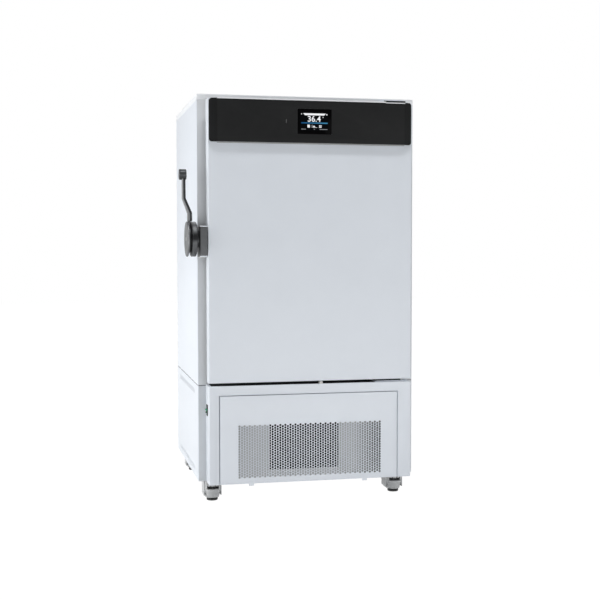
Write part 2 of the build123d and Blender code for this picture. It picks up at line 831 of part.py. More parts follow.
def base_side_panel(inner_x):
    """A flat panel whose vents are two rows of slots."""
    with BuildPart() as panel:
        block((inner_x, inner_x + sheet), (front_y, rear_y - sheet), (cab_z, seam_z))
        with BuildSketch(Plane.YZ.offset(inner_x)):
            for strip_bottom in (vent_low, vent_high):
                strip_mid = cab_z + strip_bottom + vent_height / 2
                with Locations((front_y + vent_front + vent_length / 2, strip_mid)):
                    with GridLocations(slot_pitch, vent_height, vent_slots, 1):
                        Rectangle(slot_pitch - vent_bridge, vent_height)
        extrude(amount=sheet, mode=Mode.SUBTRACT)
    return panel.part


side_panel_left = base_side_panel(left_x)
side_panel_left.label = "side_panel_left"
export_step(side_panel_left, "parts/side_panel_left.step")

side_panel_right = base_side_panel(right_x - sheet)
side_panel_right.label = "side_panel_right"
export_step(side_panel_right, "parts/side_panel_right.step")

# Rear panel of the base, with two banks of air slots and the cut-out of the power inlet.
inlet_x = right_x - inlet_from_side
inlet_z = cab_z + inlet_height_up
slot_bank_z = cab_z + base_height / 2
with BuildPart() as base_rear_panel:
    block((left_x, right_x), (rear_y - sheet, rear_y), (cab_z, seam_z))
    with BuildSketch(Plane.XZ.offset(-rear_y)):
        with Locations((cab_x, slot_bank_z)):
            with GridLocations(rear_bank_pitch, rear_slot_pitch, 2, rear_slot_rows):
                Rectangle(rear_slot_length, rear_slot_height)
        with Locations((inlet_x, inlet_z)):
            Rectangle(inlet_width, inlet_height)
    extrude(amount=sheet, mode=Mode.SUBTRACT)
base_rear_panel.part.label = "base_rear_panel"
export_step(base_rear_panel.part, "parts/base_rear_panel.step")

# Power inlet: a flanged socket with three flat contacts.
with BuildPart() as power_inlet:
    block(
        (inlet_x - inlet_width / 2, inlet_x + inlet_width / 2),
        (rear_y - inlet_depth, rear_y),
        (inlet_z - inlet_height / 2, inlet_z + inlet_height / 2),
    )
    block(
        (inlet_x - inlet_width / 2 - inlet_flange, inlet_x + inlet_width / 2 + inlet_flange),
        (rear_y, rear_y + inlet_flange / 2),
        (inlet_z - inlet_height / 2 - inlet_flange, inlet_z + inlet_height / 2 + inlet_flange),
    )
    block(
        (inlet_x - inlet_width / 2 + inlet_flange, inlet_x + inlet_width / 2 - inlet_flange),
        (rear_y - inlet_recess, rear_y + inlet_flange),
        (inlet_z - inlet_height / 2 + inlet_flange, inlet_z + inlet_height / 2 - inlet_flange),
        Mode.SUBTRACT,
    )
    with Locations((inlet_x, rear_y - inlet_recess / 2, inlet_z)):
        with GridLocations(inlet_width / 4, inlet_height, 3, 1):
            Box(inlet_contact, inlet_recess, 2 * inlet_contact)
power_inlet.part.label = "power_inlet"
export_step(power_inlet.part, "parts/power_inlet.step")

# Lower fascia: a folded frame in front of the base, with a jamb and a lip for the service panel.
opening_left = left_x + panel_left
opening_right = right_x - panel_right
opening_top = cab_z + panel_height
jamb_back = lower_fascia_front + jamb_depth
switch_y = front_y - switch_setback
switch_z = cab_z + switch_height
with BuildPart() as lower_fascia:
    block((door_left, door_right), (lower_fascia_front, front_y), (cab_z, lower_fascia_top))
    fascia_face = lower_fascia.faces().sort_by(Axis.Y)[0]
    fillet(fascia_face.edges().sort_by(Axis.Z)[1:], door_edge_radius)
    fascia_mouths = [lower_fascia.faces().sort_by(Axis.Y)[-1], lower_fascia.faces().sort_by(Axis.Z)[0]]
    offset(amount=-fascia_sheet, openings=fascia_mouths)
    block(
        (opening_left - fascia_sheet, opening_right + fascia_sheet),
        (lower_fascia_front + fascia_sheet, jamb_back),
        (cab_z, opening_top + fascia_sheet),
    )
    block(
        (opening_left + jamb_lip, opening_right - jamb_lip),
        (lower_fascia_front, jamb_back),
        (cab_z, opening_top - jamb_lip),
        Mode.SUBTRACT,
    )
    block(
        (opening_left, opening_right),
        (lower_fascia_front, jamb_back - fascia_sheet),
        (cab_z, opening_top),
        Mode.SUBTRACT,
    )
    block(
        (door_left, door_left + fascia_sheet),
        (switch_y - switch_width / 2, switch_y + switch_width / 2),
        (switch_z - switch_length / 2, switch_z + switch_length / 2),
        Mode.SUBTRACT,
    )
lower_fascia.part.label = "lower_fascia"
export_step(lower_fascia.part, "parts/lower_fascia.step")

# Service panel: a lift-off pan with a grille of staggered holes and two finger tabs below, seated on
# the jamb's lip.
panel_back = jamb_back - fascia_sheet - panel_seat_gap
grille_columns = int(grille_width // grille_pitch)
grille_rows = int(grille_height // grille_pitch)
grille_places = [
    (
        left_x + grille_left + (column + 0.5) * grille_pitch,
        cab_z + grille_bottom + (row + 0.5 + 0.5 * (column % 2)) * grille_pitch,
    )
    for column in range(grille_columns)
    for row in range(grille_rows - column % 2)
]
with BuildPart() as service_panel:
    block(
        (opening_left + panel_gap, opening_right - panel_gap),
        (lower_fascia_front, panel_back),
        (cab_z, opening_top - panel_gap),
    )
    offset(amount=-sheet, openings=service_panel.faces().sort_by(Axis.Y)[-1])
    for tab_x in (opening_left + panel_tab_left, opening_right - panel_tab_right):
        block(
            (tab_x - panel_tab_width / 2, tab_x + panel_tab_width / 2),
            (lower_fascia_front, lower_fascia_front + sheet),
            (cab_z - panel_tab_drop, cab_z),
        )
    with BuildSketch(Plane.XZ.offset(-lower_fascia_front)):
        with Locations(*grille_places):
            RegularPolygon(grille_hole / 2, 6)
    extrude(amount=-sheet, mode=Mode.SUBTRACT)
service_panel.part.label = "service_panel"
export_step(service_panel.part, "parts/service_panel.step")

# Power switch on the fascia's left side: a framed well and a rocker that turns on two stub pins. The
# rocker rests at one end of its travel, with its upper half out.
switch_face = door_left
rocker_x = switch_face + rocker_pivot_depth
with BuildPart() as switch_bezel:
    block(
        (switch_face, switch_face + switch_depth),
        (switch_y - switch_width / 2, switch_y + switch_width / 2),
        (switch_z - switch_length / 2, switch_z + switch_length / 2),
    )
    block(
        (switch_face - switch_lip_proud, switch_face),
        (switch_y - switch_width / 2 - switch_lip, switch_y + switch_width / 2 + switch_lip),
        (switch_z - switch_length / 2 - switch_end_lip, switch_z + switch_length / 2 + switch_end_lip),
    )
    block(
        (switch_face - switch_lip_proud, switch_face + switch_well),
        (switch_y - switch_width / 2 + switch_lip, switch_y + switch_width / 2 - switch_lip),
        (switch_z - switch_length / 2 + switch_lip, switch_z + switch_length / 2 - switch_lip),
        Mode.SUBTRACT,
    )
    with Locations(Location((rocker_x, switch_y, switch_z), (90, 0, 0))):
        Cylinder(rocker_pin / 2 + run_fit, switch_width, mode=Mode.SUBTRACT)
switch_bezel.part.label = "switch_bezel"
export_step(switch_bezel.part, "parts/switch_bezel.step")

rocker_half = switch_length / 2 - switch_lip - rocker_gap
rocker_width = switch_width - 2 * switch_lip - 2 * rocker_side_gap
rocker_face = rocker_pivot_depth + switch_lip_proud
rocker_plane = Plane(
    origin=(rocker_x, switch_y - rocker_width / 2, switch_z),
    x_dir=(cos(radians(rocker_tilt)), 0, sin(radians(rocker_tilt))),
    z_dir=(0, -1, 0),
)
with BuildPart() as switch_rocker:
    with BuildSketch(rocker_plane):
        with BuildLine():
            Polyline(
                (rocker_pin, -rocker_half / 2),
                (rocker_pin, rocker_half / 2),
                (0, rocker_half),
                (-rocker_face - rocker_proud, rocker_half),
                (-rocker_face - rocker_proud / 3, 0),
                (-rocker_face - rocker_proud, -rocker_half),
                (0, -rocker_half),
                close=True,
            )
        make_face()
    extrude(amount=-rocker_width)
    with Locations(Location((rocker_x, switch_y, switch_z), (90, 0, 0))):
        Cylinder(rocker_pin / 2, rocker_width + 2 * rocker_pin_seat)
switch_rocker.part.label = "switch_rocker"
export_step(switch_rocker.part, "parts/switch_rocker.step")

# Condenser behind the air opening: fins between two end plates that stand in the tray.
condenser_x = (air_left + air_right) / 2
condenser_front = wall_back + tray_sheet + condenser_gap
condenser_back = condenser_front + condenser_depth
condenser_left = condenser_x - condenser_width / 2
condenser_right = condenser_x + condenser_width / 2
condenser_top = tray_floor + condenser_height
fin_pitch = condenser_height / (condenser_fins + 1)
with BuildPart() as condenser:
    for plate_x in (condenser_left, condenser_right - condenser_plate):
        plate_span = (plate_x, plate_x + condenser_plate)
        block(plate_span, (condenser_front, condenser_back), (tray_floor, condenser_top))
    for fin in range(1, condenser_fins + 1):
        fin_z = tray_floor + fin * fin_pitch
        block(
            (condenser_left + condenser_plate, condenser_right - condenser_plate),
            (condenser_front, condenser_back),
            (fin_z - condenser_fin / 2, fin_z + condenser_fin / 2),
        )
condenser.part.label = "condenser"
export_step(condenser.part, "parts/condenser.step")

# Fan shroud: a shallow pan on the condenser's back with a round mouth for the fan.
shroud_mid_z = tray_floor + condenser_height / 2
shroud_back = condenser_back + shroud_depth
with BuildPart() as fan_shroud:
    block((condenser_left, condenser_right), (condenser_back, shroud_back), (tray_floor, condenser_top))
    offset(amount=-sheet, openings=fan_shroud.faces().sort_by(Axis.Y)[0])
    with Locations(Location((condenser_x, shroud_back, shroud_mid_z), (90, 0, 0))):
        Cylinder(fan_diameter / 2 + fan_tip_gap, 2 * shroud_depth, mode=Mode.SUBTRACT)
fan_shroud.part.label = "fan_shroud"
export_step(fan_shroud.part, "parts/fan_shroud.step")

# Fan: a hub with pitched blades on the motor's shaft.
fan_front = shroud_back + fan_gap
fan_mid_y = fan_front + fan_depth / 2
motor_front = fan_front + fan_depth + motor_gap
blade_root = fan_hub_diameter / 2 - fan_blade_thickness
blade_half_root = fan_depth / 2
blade_half_tip = fan_depth
blade_tip = (fan_diameter**2 / 4 - blade_half_tip**2) ** 0.5
with BuildPart() as fan_blades:
    with Locations(Location((condenser_x, fan_mid_y, shroud_mid_z), (90, 0, 0))):
        Cylinder(fan_hub_diameter / 2, fan_depth)
    for blade in range(fan_blades_count):
        turn = radians(360 * blade / fan_blades_count)
        pitch = radians(fan_blade_pitch)
        blade_plane = Plane(
            origin=(condenser_x, fan_mid_y, shroud_mid_z),
            x_dir=(cos(turn), 0, sin(turn)),
            z_dir=(sin(pitch) * sin(turn), cos(pitch), -sin(pitch) * cos(turn)),
        )
        with BuildSketch(blade_plane):
            with BuildLine():
                Polyline(
                    (blade_root, -blade_half_root),
                    (blade_tip, -blade_half_tip),
                    (blade_tip, blade_half_tip),
                    (blade_root, blade_half_root),
                    close=True,
                )
            make_face()
        extrude(amount=fan_blade_thickness / 2, both=True)
    with Locations(Location((condenser_x, fan_mid_y, shroud_mid_z), (90, 0, 0))):
        Cylinder(fan_bore / 2 + run_fit, 2 * fan_diameter, mode=Mode.SUBTRACT)
fan_blades.part.label = "fan_blades"
export_step(fan_blades.part, "parts/fan_blades.step")

# Fan motor with its shaft, held by two straps that bend forward to the shroud.
motor_back = motor_front + motor_length
strap_reach = fan_diameter / 2 + fan_tip_gap + motor_strap
with BuildPart() as fan_motor:
    with Locations(Location((condenser_x, (motor_front + motor_back) / 2, shroud_mid_z), (90, 0, 0))):
        Cylinder(motor_diameter / 2, motor_length)
    with Locations(Location((condenser_x, (fan_front + motor_front) / 2, shroud_mid_z), (90, 0, 0))):
        Cylinder(fan_bore / 2, motor_front - fan_front)
    block(
        (condenser_x - strap_reach, condenser_x + strap_reach),
        (motor_back - motor_strap_thickness, motor_back),
        (shroud_mid_z - motor_strap / 2, shroud_mid_z + motor_strap / 2),
    )
    for foot_x in (condenser_x - strap_reach, condenser_x + strap_reach - motor_strap_thickness):
        block(
            (foot_x, foot_x + motor_strap_thickness),
            (shroud_back, motor_back),
            (shroud_mid_z - motor_strap / 2, shroud_mid_z + motor_strap / 2),
        )
fan_motor.part.label = "fan_motor"
export_step(fan_motor.part, "parts/fan_motor.step")


def compressor(x):
    """A hermetic compressor: a welded pot with domed ends on a foot plate in the tray."""
    base = tray_floor + compressor_foot_thickness
    shoulder = base + compressor_height - compressor_crown
    radius = compressor_diameter / 2
    heel = compressor_crown / 2
    crown_radius = (radius**2 + compressor_crown**2) / (2 * compressor_crown)
    with BuildPart() as pot:
        with BuildSketch(Plane.XZ.offset(-front_y - compressor_setback)):
            with BuildLine():
                Line((x, base), (x + radius - heel, base))
                RadiusArc((x + radius - heel, base), (x + radius, base + heel), -heel)
                Line((x + radius, base + heel), (x + radius, shoulder))
                RadiusArc((x + radius, shoulder), (x, shoulder + compressor_crown), -crown_radius)
                Line((x, shoulder + compressor_crown), (x, base))
            make_face()
        revolve(axis=Axis((x, front_y + compressor_setback, 0), (0, 0, 1)))
        block(
            (x - compressor_foot / 2, x + compressor_foot / 2),
            (
                front_y + compressor_setback - compressor_foot_depth / 2,
                front_y + compressor_setback + compressor_foot_depth / 2,
            ),
            (tray_floor, base),
        )
    return pot.part


compressor_high_stage = compressor(cab_x - compressor_spread)
compressor_high_stage.label = "compressor_high_stage"
export_step(compressor_high_stage, "parts/compressor_high_stage.step")

compressor_low_stage = compressor(cab_x + compressor_spread)
compressor_low_stage.label = "compressor_low_stage"
export_step(compressor_low_stage, "parts/compressor_low_stage.step")

# Cascade heat exchanger: a lagged upright vessel between the two circuits.
with BuildPart() as heat_exchanger:
    with Locations((cab_x, rear_y - exchanger_setback, tray_floor + exchanger_height / 2)):
        Cylinder(exchanger_diameter / 2, exchanger_height)
    fillet(heat_exchanger.edges().filter_by(GeomType.CIRCLE).sort_by(Axis.Z)[-1], exchanger_diameter / 4)
heat_exchanger.part.label = "heat_exchanger"
export_step(heat_exchanger.part, "parts/heat_exchanger.step")

# Electrical box on the right, behind the fan motor.
electrical_right = tray_right - electrical_side_gap
electrical_front = motor_back + electrical_setback
with BuildPart() as electrical_box:
    block(
        (electrical_right - electrical_width, electrical_right),
        (electrical_front, electrical_front + electrical_depth),
        (tray_floor, tray_floor + electrical_height),
    )
    fillet(electrical_box.edges().filter_by(Axis.Z), bend_radius)
electrical_box.part.label = "electrical_box"
export_step(electrical_box.part, "parts/electrical_box.step")

# Levelling casters: a bolted plate, a swivelling body with a wheel behind, and a screwed foot.
caster_rows = {
    "front_left": (left_x + caster_side_inset, front_y + caster_front_inset),
    "front_right": (right_x - caster_side_inset, front_y + caster_front_inset),
    "rear_left": (left_x + caster_side_inset, rear_y - caster_rear_inset),
    "rear_right": (right_x - caster_side_inset, rear_y - caster_rear_inset),
}
plate_z = cab_z - caster_plate_thickness
swivel_z = plate_z - caster_swivel_gap
wheel_z = caster_wheel_lift + caster_wheel_diameter / 2
spigot_bottom = plate_z - caster_spigot_length
screw_top = spigot_bottom - foot_travel - touch_gap
foot_hole = foot_diameter / 2 + foot_recess_gap

with BuildPart() as caster_plates:
    for caster_x, caster_y in caster_rows.values():
        with BuildSketch(Plane.XY.offset(plate_z)):
            with Locations((caster_x, caster_y)):
                RectangleRounded(caster_plate_size, caster_plate_size, caster_plate_corner)
                with GridLocations(caster_bolt_pitch, caster_bolt_pitch, 2, 2):
                    Circle(caster_bolt_hole / 2, mode=Mode.SUBTRACT)
        extrude(amount=caster_plate_thickness)
        with Locations((caster_x, caster_y, plate_z - caster_spigot_length / 2)):
            Cylinder(caster_spigot_diameter / 2, caster_spigot_length)
caster_plates.part.label = "caster_plates"
export_step(caster_plates.part, "parts/caster_plates.step")


def caster_body(x, y):
    """The cast swivel body: round in front and tapered below, with a thumbwheel window and a wheel well."""
    round_y = y - caster_body_front + caster_body_width / 2
    corner_y = y + caster_body_rear - caster_body_corner
    window = thumbwheel_diameter / 2 + foot_recess_gap
    well_front = y + caster_wheel_trail - caster_wheel_diameter / 2 - caster_wheel_gap
    well = (well_front, y + 2 * caster_body_rear)
    well_half = caster_wheel_width / 2 + caster_wheel_gap
    with BuildPart() as body:
        for rise, taper in ((swivel_z - caster_waist, 0), (caster_body_bottom - caster_waist, caster_taper)):
            with BuildSketch(Plane.XY.offset(caster_waist)):
                with Locations((x, round_y)):
                    Circle(caster_body_width / 2)
                with Locations((x, corner_y)):
                    with GridLocations(caster_body_width - 2 * caster_body_corner, 1, 2, 1):
                        Circle(caster_body_corner)
                make_hull()
            extrude(amount=rise, taper=taper)
        block(
            (x - window, x + window),
            (y - 2 * caster_body_front, y + window),
            (thumbwheel_up - touch_gap, thumbwheel_up + thumbwheel_height + foot_travel + touch_gap),
            Mode.SUBTRACT,
        )
        block(
            (x - well_half, x + well_half),
            well,
            (0, wheel_z + caster_wheel_diameter / 2 + caster_wheel_gap),
            Mode.SUBTRACT,
        )
        with Locations((x, y, spigot_bottom / 2)):
            Cylinder(screw_diameter / 2 + touch_gap, spigot_bottom, mode=Mode.SUBTRACT)
        with Locations((x, y, (foot_height + foot_travel + touch_gap) / 2)):
            Cylinder(foot_hole, foot_height + foot_travel + touch_gap, mode=Mode.SUBTRACT)
        with Locations((x, y, (spigot_bottom - touch_gap + swivel_z) / 2)):
            seat_depth = swivel_z - spigot_bottom + touch_gap
            Cylinder(caster_spigot_diameter / 2 + run_fit, seat_depth, mode=Mode.SUBTRACT)
        with Locations(Location((x, y + caster_wheel_trail, wheel_z), (0, 90, 0))):
            axle_bore = 2 * (well_half + caster_axle_seat)
            Cylinder(caster_axle_diameter / 2 + run_fit, axle_bore, mode=Mode.SUBTRACT)
    return body.part


def caster_wheel(x, y):
    """A moulded wheel with its axle, which runs in the body's cheeks."""
    axle_half = caster_wheel_width / 2 + caster_wheel_gap + caster_axle_seat - touch_gap
    with BuildPart() as wheel:
        with Locations(Location((x, y + caster_wheel_trail, wheel_z), (0, 90, 0))):
            Cylinder(caster_wheel_diameter / 2, caster_wheel_width)
        chamfer(wheel.edges().filter_by(GeomType.CIRCLE), caster_wheel_edge)
        with Locations(Location((x, y + caster_wheel_trail, wheel_z), (0, 90, 0))):
            Cylinder(caster_axle_diameter / 2, 2 * axle_half)
    return wheel.part


def caster_foot(x, y):
    """A rubber-faced foot on a screw, with the notched thumbwheel that sets its height."""
    with BuildPart() as foot:
        with Locations((x, y, foot_height / 2)):
            Cylinder(foot_diameter / 2, foot_height)
        chamfer(foot.edges().filter_by(GeomType.CIRCLE), foot_edge)
        with Locations((x, y, (foot_height + screw_top) / 2)):
            Cylinder(screw_diameter / 2, screw_top - foot_height)
        with BuildSketch(Plane.XY.offset(thumbwheel_up)):
            with Locations((x, y)):
                Circle(thumbwheel_diameter / 2)
                with PolarLocations(thumbwheel_diameter / 2, thumbwheel_notches):
                    Circle(thumbwheel_notch, mode=Mode.SUBTRACT)
        extrude(amount=thumbwheel_height)
    return foot.part


for corner, (caster_x, caster_y) in caster_rows.items():
    for piece_name, make_piece in (("body", caster_body), ("wheel", caster_wheel), ("foot", caster_foot)):
        piece = make_piece(caster_x, caster_y)
        piece.label = f"caster_{corner}_{piece_name}"
        export_step(piece, f"parts/{piece.label}.step")
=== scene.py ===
import json
import math

import bpy
from mathutils import Euler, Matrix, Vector

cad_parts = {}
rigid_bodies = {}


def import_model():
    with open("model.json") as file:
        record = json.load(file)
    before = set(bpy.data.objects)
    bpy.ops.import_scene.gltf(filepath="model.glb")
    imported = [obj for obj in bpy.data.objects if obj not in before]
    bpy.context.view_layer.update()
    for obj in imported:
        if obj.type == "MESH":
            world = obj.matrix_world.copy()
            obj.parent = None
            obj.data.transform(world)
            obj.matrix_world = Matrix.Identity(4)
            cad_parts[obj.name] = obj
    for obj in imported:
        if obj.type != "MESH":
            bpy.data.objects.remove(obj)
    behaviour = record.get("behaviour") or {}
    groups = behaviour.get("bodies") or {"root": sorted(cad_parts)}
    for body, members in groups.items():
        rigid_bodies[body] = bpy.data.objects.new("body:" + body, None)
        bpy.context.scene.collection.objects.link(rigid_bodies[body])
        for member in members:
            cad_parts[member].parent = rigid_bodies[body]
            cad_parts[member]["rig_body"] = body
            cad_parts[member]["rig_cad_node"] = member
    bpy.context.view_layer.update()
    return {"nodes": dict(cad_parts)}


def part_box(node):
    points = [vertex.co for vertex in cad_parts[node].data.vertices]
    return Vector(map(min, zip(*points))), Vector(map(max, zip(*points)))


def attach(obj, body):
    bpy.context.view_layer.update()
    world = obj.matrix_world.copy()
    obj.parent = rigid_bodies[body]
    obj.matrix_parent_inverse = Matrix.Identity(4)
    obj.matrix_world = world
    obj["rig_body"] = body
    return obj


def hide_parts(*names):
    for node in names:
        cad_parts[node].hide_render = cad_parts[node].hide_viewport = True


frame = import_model()

# Camera: a long lens at about chest height, in front of the freezer and well to its left,
# so that the front and a narrow slice of the left side show.
camera_place = Vector((-0.9141, -4.5407, 0.9927))
camera_yaw = 0.215
camera_pitch = 0.0483
camera_roll = -0.0009
camera_data = bpy.data.cameras.new("camera")
camera_data.lens = 66.38
camera_data.sensor_width = 36.0
camera = bpy.data.objects.new("camera", camera_data)
bpy.context.scene.collection.objects.link(camera)
look = Vector((
    math.sin(camera_yaw) * math.cos(camera_pitch),
    math.cos(camera_yaw) * math.cos(camera_pitch),
    -math.sin(camera_pitch),
))
camera_turn = look.to_track_quat("-Z", "Y")
camera.rotation_euler = (camera_turn @ Euler((0, 0, camera_roll)).to_quaternion()).to_euler()
camera.location = camera_place
bpy.context.scene.camera = camera


# Studio: a white floor that runs into a white room, a large soft lamp on the freezer's left, weaker ones
# at its right, in front and overhead, and one behind it. The floor glows, so it shows white to the camera.
class Wire:
    """A socket in a material's node tree. Sums on it add Math nodes, and made() adds any other node."""

    def __init__(self, tree, socket):
        self.tree = tree
        self.socket = socket

    def made(self, kind, settings=None, out=0, **sockets):
        """Adds a node. Its inputs are given by name, or as the letter i and a number."""
        node = self.tree.nodes.new(kind)
        for name, value in (settings or {}).items():
            setattr(node, name, value)
        for name, value in sockets.items():
            socket = node.inputs[int(name[1:]) if name[1:].isdigit() else name]
            if isinstance(value, Wire):
                self.tree.links.new(value.socket, socket)
            elif socket.type == "RGBA" and len(value) == 3:
                socket.default_value = (*value, 1)
            else:
                socket.default_value = value
        return Wire(self.tree, node.outputs[out])

    def sum(self, operation, other):
        return self.made("ShaderNodeMath", {"operation": operation}, i0=self, i1=other)

    def __add__(self, other):
        return self.sum("ADD", other)

    def __sub__(self, other):
        return self.sum("SUBTRACT", other)

    def __mul__(self, other):
        return self.sum("MULTIPLY", other)

    def __gt__(self, other):
        return self.sum("GREATER_THAN", other)

    def __lt__(self, other):
        return self.sum("LESS_THAN", other)


def new_finish(name):
    """A material with one shader, and a wire with its Object coordinates."""
    finish = bpy.data.materials.new(name)
    finish.use_nodes = True
    shader = finish.node_tree.nodes["Principled BSDF"]
    coords = finish.node_tree.nodes.new("ShaderNodeTexCoord")
    return finish, shader, Wire(finish.node_tree, coords.outputs["Object"])


def feed(wire, shader, socket):
    """Joins a wire to one socket of a shader."""
    wire.tree.links.new(wire.socket, shader.inputs[socket])


def blend(share, first, second):
    """A colour between two others, by a share that varies over the piece."""
    return share.made("ShaderNodeMix", {"data_type": "RGBA"}, out=2, i0=share, i6=first, i7=second)


def tone(where, scale, dark, light, detail=3.0):
    """A colour that drifts between two shades in soft blotches."""
    cloud = where.made("ShaderNodeTexNoise", Vector=where, Scale=scale, Detail=detail)
    return blend(cloud, dark, light)


def ray_kinds(tree):
    """Wires that are one for rays from the camera, off a mirror and through glass."""
    paths = tree.nodes.new("ShaderNodeLightPath")
    kinds = ("Is Camera Ray", "Is Glossy Ray", "Is Transmission Ray")
    return [Wire(tree, paths.outputs[kind]) for kind in kinds]


def deselect():
    """Leaves nothing selected."""
    bpy.ops.object.select_all(action="DESELECT")


floor_size = 30.0
glow_share = 0.92
deselect()
bpy.ops.mesh.primitive_plane_add(size=floor_size)
floor = bpy.context.object
floor.name = "floor"
floor_paint, floor_shader, floor_where = new_finish("floor_paint")
feed(tone(floor_where, 0.6, (0.86, 0.86, 0.86), (0.9, 0.9, 0.9)), floor_shader, "Base Color")
floor_shader.inputs["Roughness"].default_value = 0.7
floor_shader.inputs["Specular IOR Level"].default_value = 0.1
floor_nodes = floor_paint.node_tree.nodes
floor_links = floor_paint.node_tree.links
seen, mirrored, through = ray_kinds(floor_paint.node_tree)
floor_glow = floor_nodes.new("ShaderNodeEmission")
floor_glow.inputs["Strength"].default_value = 1.085
floor_mix = floor_nodes.new("ShaderNodeMixShader")
floor_links.new(((seen + mirrored + through) * glow_share).socket, floor_mix.inputs[0])
floor_links.new(floor_shader.outputs[0], floor_mix.inputs[1])
floor_links.new(floor_glow.outputs[0], floor_mix.inputs[2])
floor_links.new(floor_mix.outputs[0], floor_nodes["Material Output"].inputs[0])
floor.data.materials.append(floor_paint)


def soft_lamp(name, place, aim, width, height, watts):
    """A rectangular softbox that points at a spot."""
    lamp_data = bpy.data.lights.new(name, "AREA")
    lamp_data.shape = "RECTANGLE"
    lamp_data.size = width
    lamp_data.size_y = height
    lamp_data.energy = watts
    lamp = bpy.data.objects.new(name, lamp_data)
    bpy.context.scene.collection.objects.link(lamp)
    lamp.location = place
    lamp.rotation_euler = (Vector(aim) - Vector(place)).to_track_quat("-Z", "Y").to_euler()
    lamp.visible_camera = False


soft_lamp("left_softbox", (-3.4, -0.3, 1.3), (0.0, 0.1, 0.8), 2.4, 2.4, 78)
soft_lamp("right_softbox", (2.6, -3.0, 1.4), (0.1, -0.4, 0.7), 1.8, 1.8, 13)
soft_lamp("front_softbox", (0.5, -2.9, 0.3), (0.1, -0.4, 0.4), 2.4, 0.5, 13)
soft_lamp("top_softbox", (0.2, -1.6, 4.6), (0.1, -0.5, 0.9), 1.4, 0.5, 52)
soft_lamp("rear_softbox", (2.6, 3.0, 2.2), (0.0, 0.0, 0.8), 2.6, 2.6, 50)

world = bpy.data.worlds.new("studio")
world.use_nodes = True
bpy.context.scene.world = world
world_nodes = world.node_tree.nodes
sky_seen, sky_mirrored, sky_through = ray_kinds(world.node_tree)
mirror_level = 0.6
room_level = 0.2
sky_level = (sky_seen + sky_mirrored * mirror_level + sky_through).sum("MAXIMUM", room_level)
world_nodes["Background"].inputs["Color"].default_value = (1, 1, 1, 1)
world.node_tree.links.new(sky_level.socket, world_nodes["Background"].inputs["Strength"])
bpy.context.scene.view_settings.view_transform = "Standard"


# Cabinet: case, cap and base panels folded from sheet steel and powder coated in a cool white.
# The cap and the base are separate pieces, so fine grooves show where they meet the case.
def dress(finish, *nodes):
    """Gives CAD pieces their finish."""
    for node in nodes:
        for slot in frame["nodes"][node].material_slots:
            slot.material = finish


hard_edge = math.radians(40)
flat_face = math.radians(0.5)
same_point = 1e-6
sheet_edge = 0.0008


def softened(piece, width, segments=2):
    """Rounds a piece's hard edges and shades it smoothly between them."""
    bpy.context.view_layer.objects.active = piece
    edges = piece.modifiers.new("edges", "BEVEL")
    edges.width = width
    edges.segments = segments
    edges.limit_method = "ANGLE"
    edges.angle_limit = hard_edge
    bpy.ops.object.modifier_apply(modifier=edges.name)
    smooth(piece)
    return piece


def smooth(piece, angle=hard_edge):
    """Shades a piece smoothly, but for edges sharper than an angle."""
    deselect()
    piece.select_set(True)
    bpy.context.view_layer.objects.active = piece
    bpy.ops.object.shade_smooth_by_angle(angle=angle)


def eased_copy(node, name, width, segments=2):
    """A CAD piece with its sharp edges eased, which stands for it."""
    deselect()
    piece = frame["nodes"][node].copy()
    piece.data = piece.data.copy()
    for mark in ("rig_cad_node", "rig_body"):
        if mark in piece:
            del piece[mark]
    piece.parent = None
    piece.name = name
    bpy.context.scene.collection.objects.link(piece)
    piece.select_set(True)
    bpy.context.view_layer.objects.active = piece
    bpy.ops.object.mode_set(mode="EDIT")
    bpy.ops.mesh.select_all(action="SELECT")
    bpy.ops.mesh.remove_doubles(threshold=same_point)
    bpy.ops.mesh.dissolve_limited(angle_limit=flat_face)
    bpy.ops.object.mode_set(mode="OBJECT")
    return softened(piece, width, segments)


def settle(piece, finish, body, slot, *nodes):
    """Gives a new piece its material and its body, and hides the CAD pieces it stands for. Its slot is not
    used.
    """
    piece.data.materials.clear()
    piece.data.materials.append(finish)
    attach(piece, body)
    if nodes:
        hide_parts(*nodes)


def stand_in(node, name, width, finish, body, slot, segments=2):
    """Puts an eased copy in the place of one CAD piece."""
    settle(eased_copy(node, name, width, segments), finish, body, slot, node)


def gloss(where, shader, scale, detail, least, spread):
    """A roughness that drifts upwards from its least value in soft blotches."""
    cloud = where.made("ShaderNodeTexNoise", Vector=where, Scale=scale, Detail=detail)
    feed(cloud * spread + least, shader, "Roughness")


def grain(where, shader, scale, strength, distance):
    """A fine even roughness of the surface, as bump."""
    cloud = where.made("ShaderNodeTexNoise", Vector=where, Scale=scale, Detail=2.0)
    bump = where.made("ShaderNodeBump", Strength=strength, Distance=distance, Height=cloud)
    feed(bump, shader, "Normal")


def plain_finish(name, tint, sheen, grit=None, specular=0.5, metallic=0.0):
    """A finish of one drifting colour. Tint, sheen and grit are what tone, gloss and grain take."""
    finish, shader, where = new_finish(name)
    feed(tone(where, *tint), shader, "Base Color")
    gloss(where, shader, *sheen)
    if grit:
        grain(where, shader, *grit)
    shader.inputs["Specular IOR Level"].default_value = specular
    shader.inputs["Metallic"].default_value = metallic
    return finish


powder_white = plain_finish(
    "powder_white",
    tint=(9.0, (0.775, 0.82, 0.88), (0.81, 0.855, 0.915)),
    sheen=(40.0, 4.0, 0.3, 0.16),
    grit=(520.0, 0.05, 0.0004),
)
# The cap is painted a lighter white than the case, as painted light on its rounded front edge.
cap_white_painted_light = plain_finish(
    "cap_white_painted_light",
    tint=(9.0, (0.88, 0.9, 0.925), (0.91, 0.93, 0.955)),
    sheen=(40.0, 4.0, 0.3, 0.16),
    grit=(520.0, 0.05, 0.0004),
)
stand_in("top_cover", "cap", sheet_edge, cap_white_painted_light, "cabinet", "white_coat")
stand_in("outer_case", "case_shell", sheet_edge, powder_white, "cabinet", "white_coat")
dress(powder_white, "base_rear_panel")
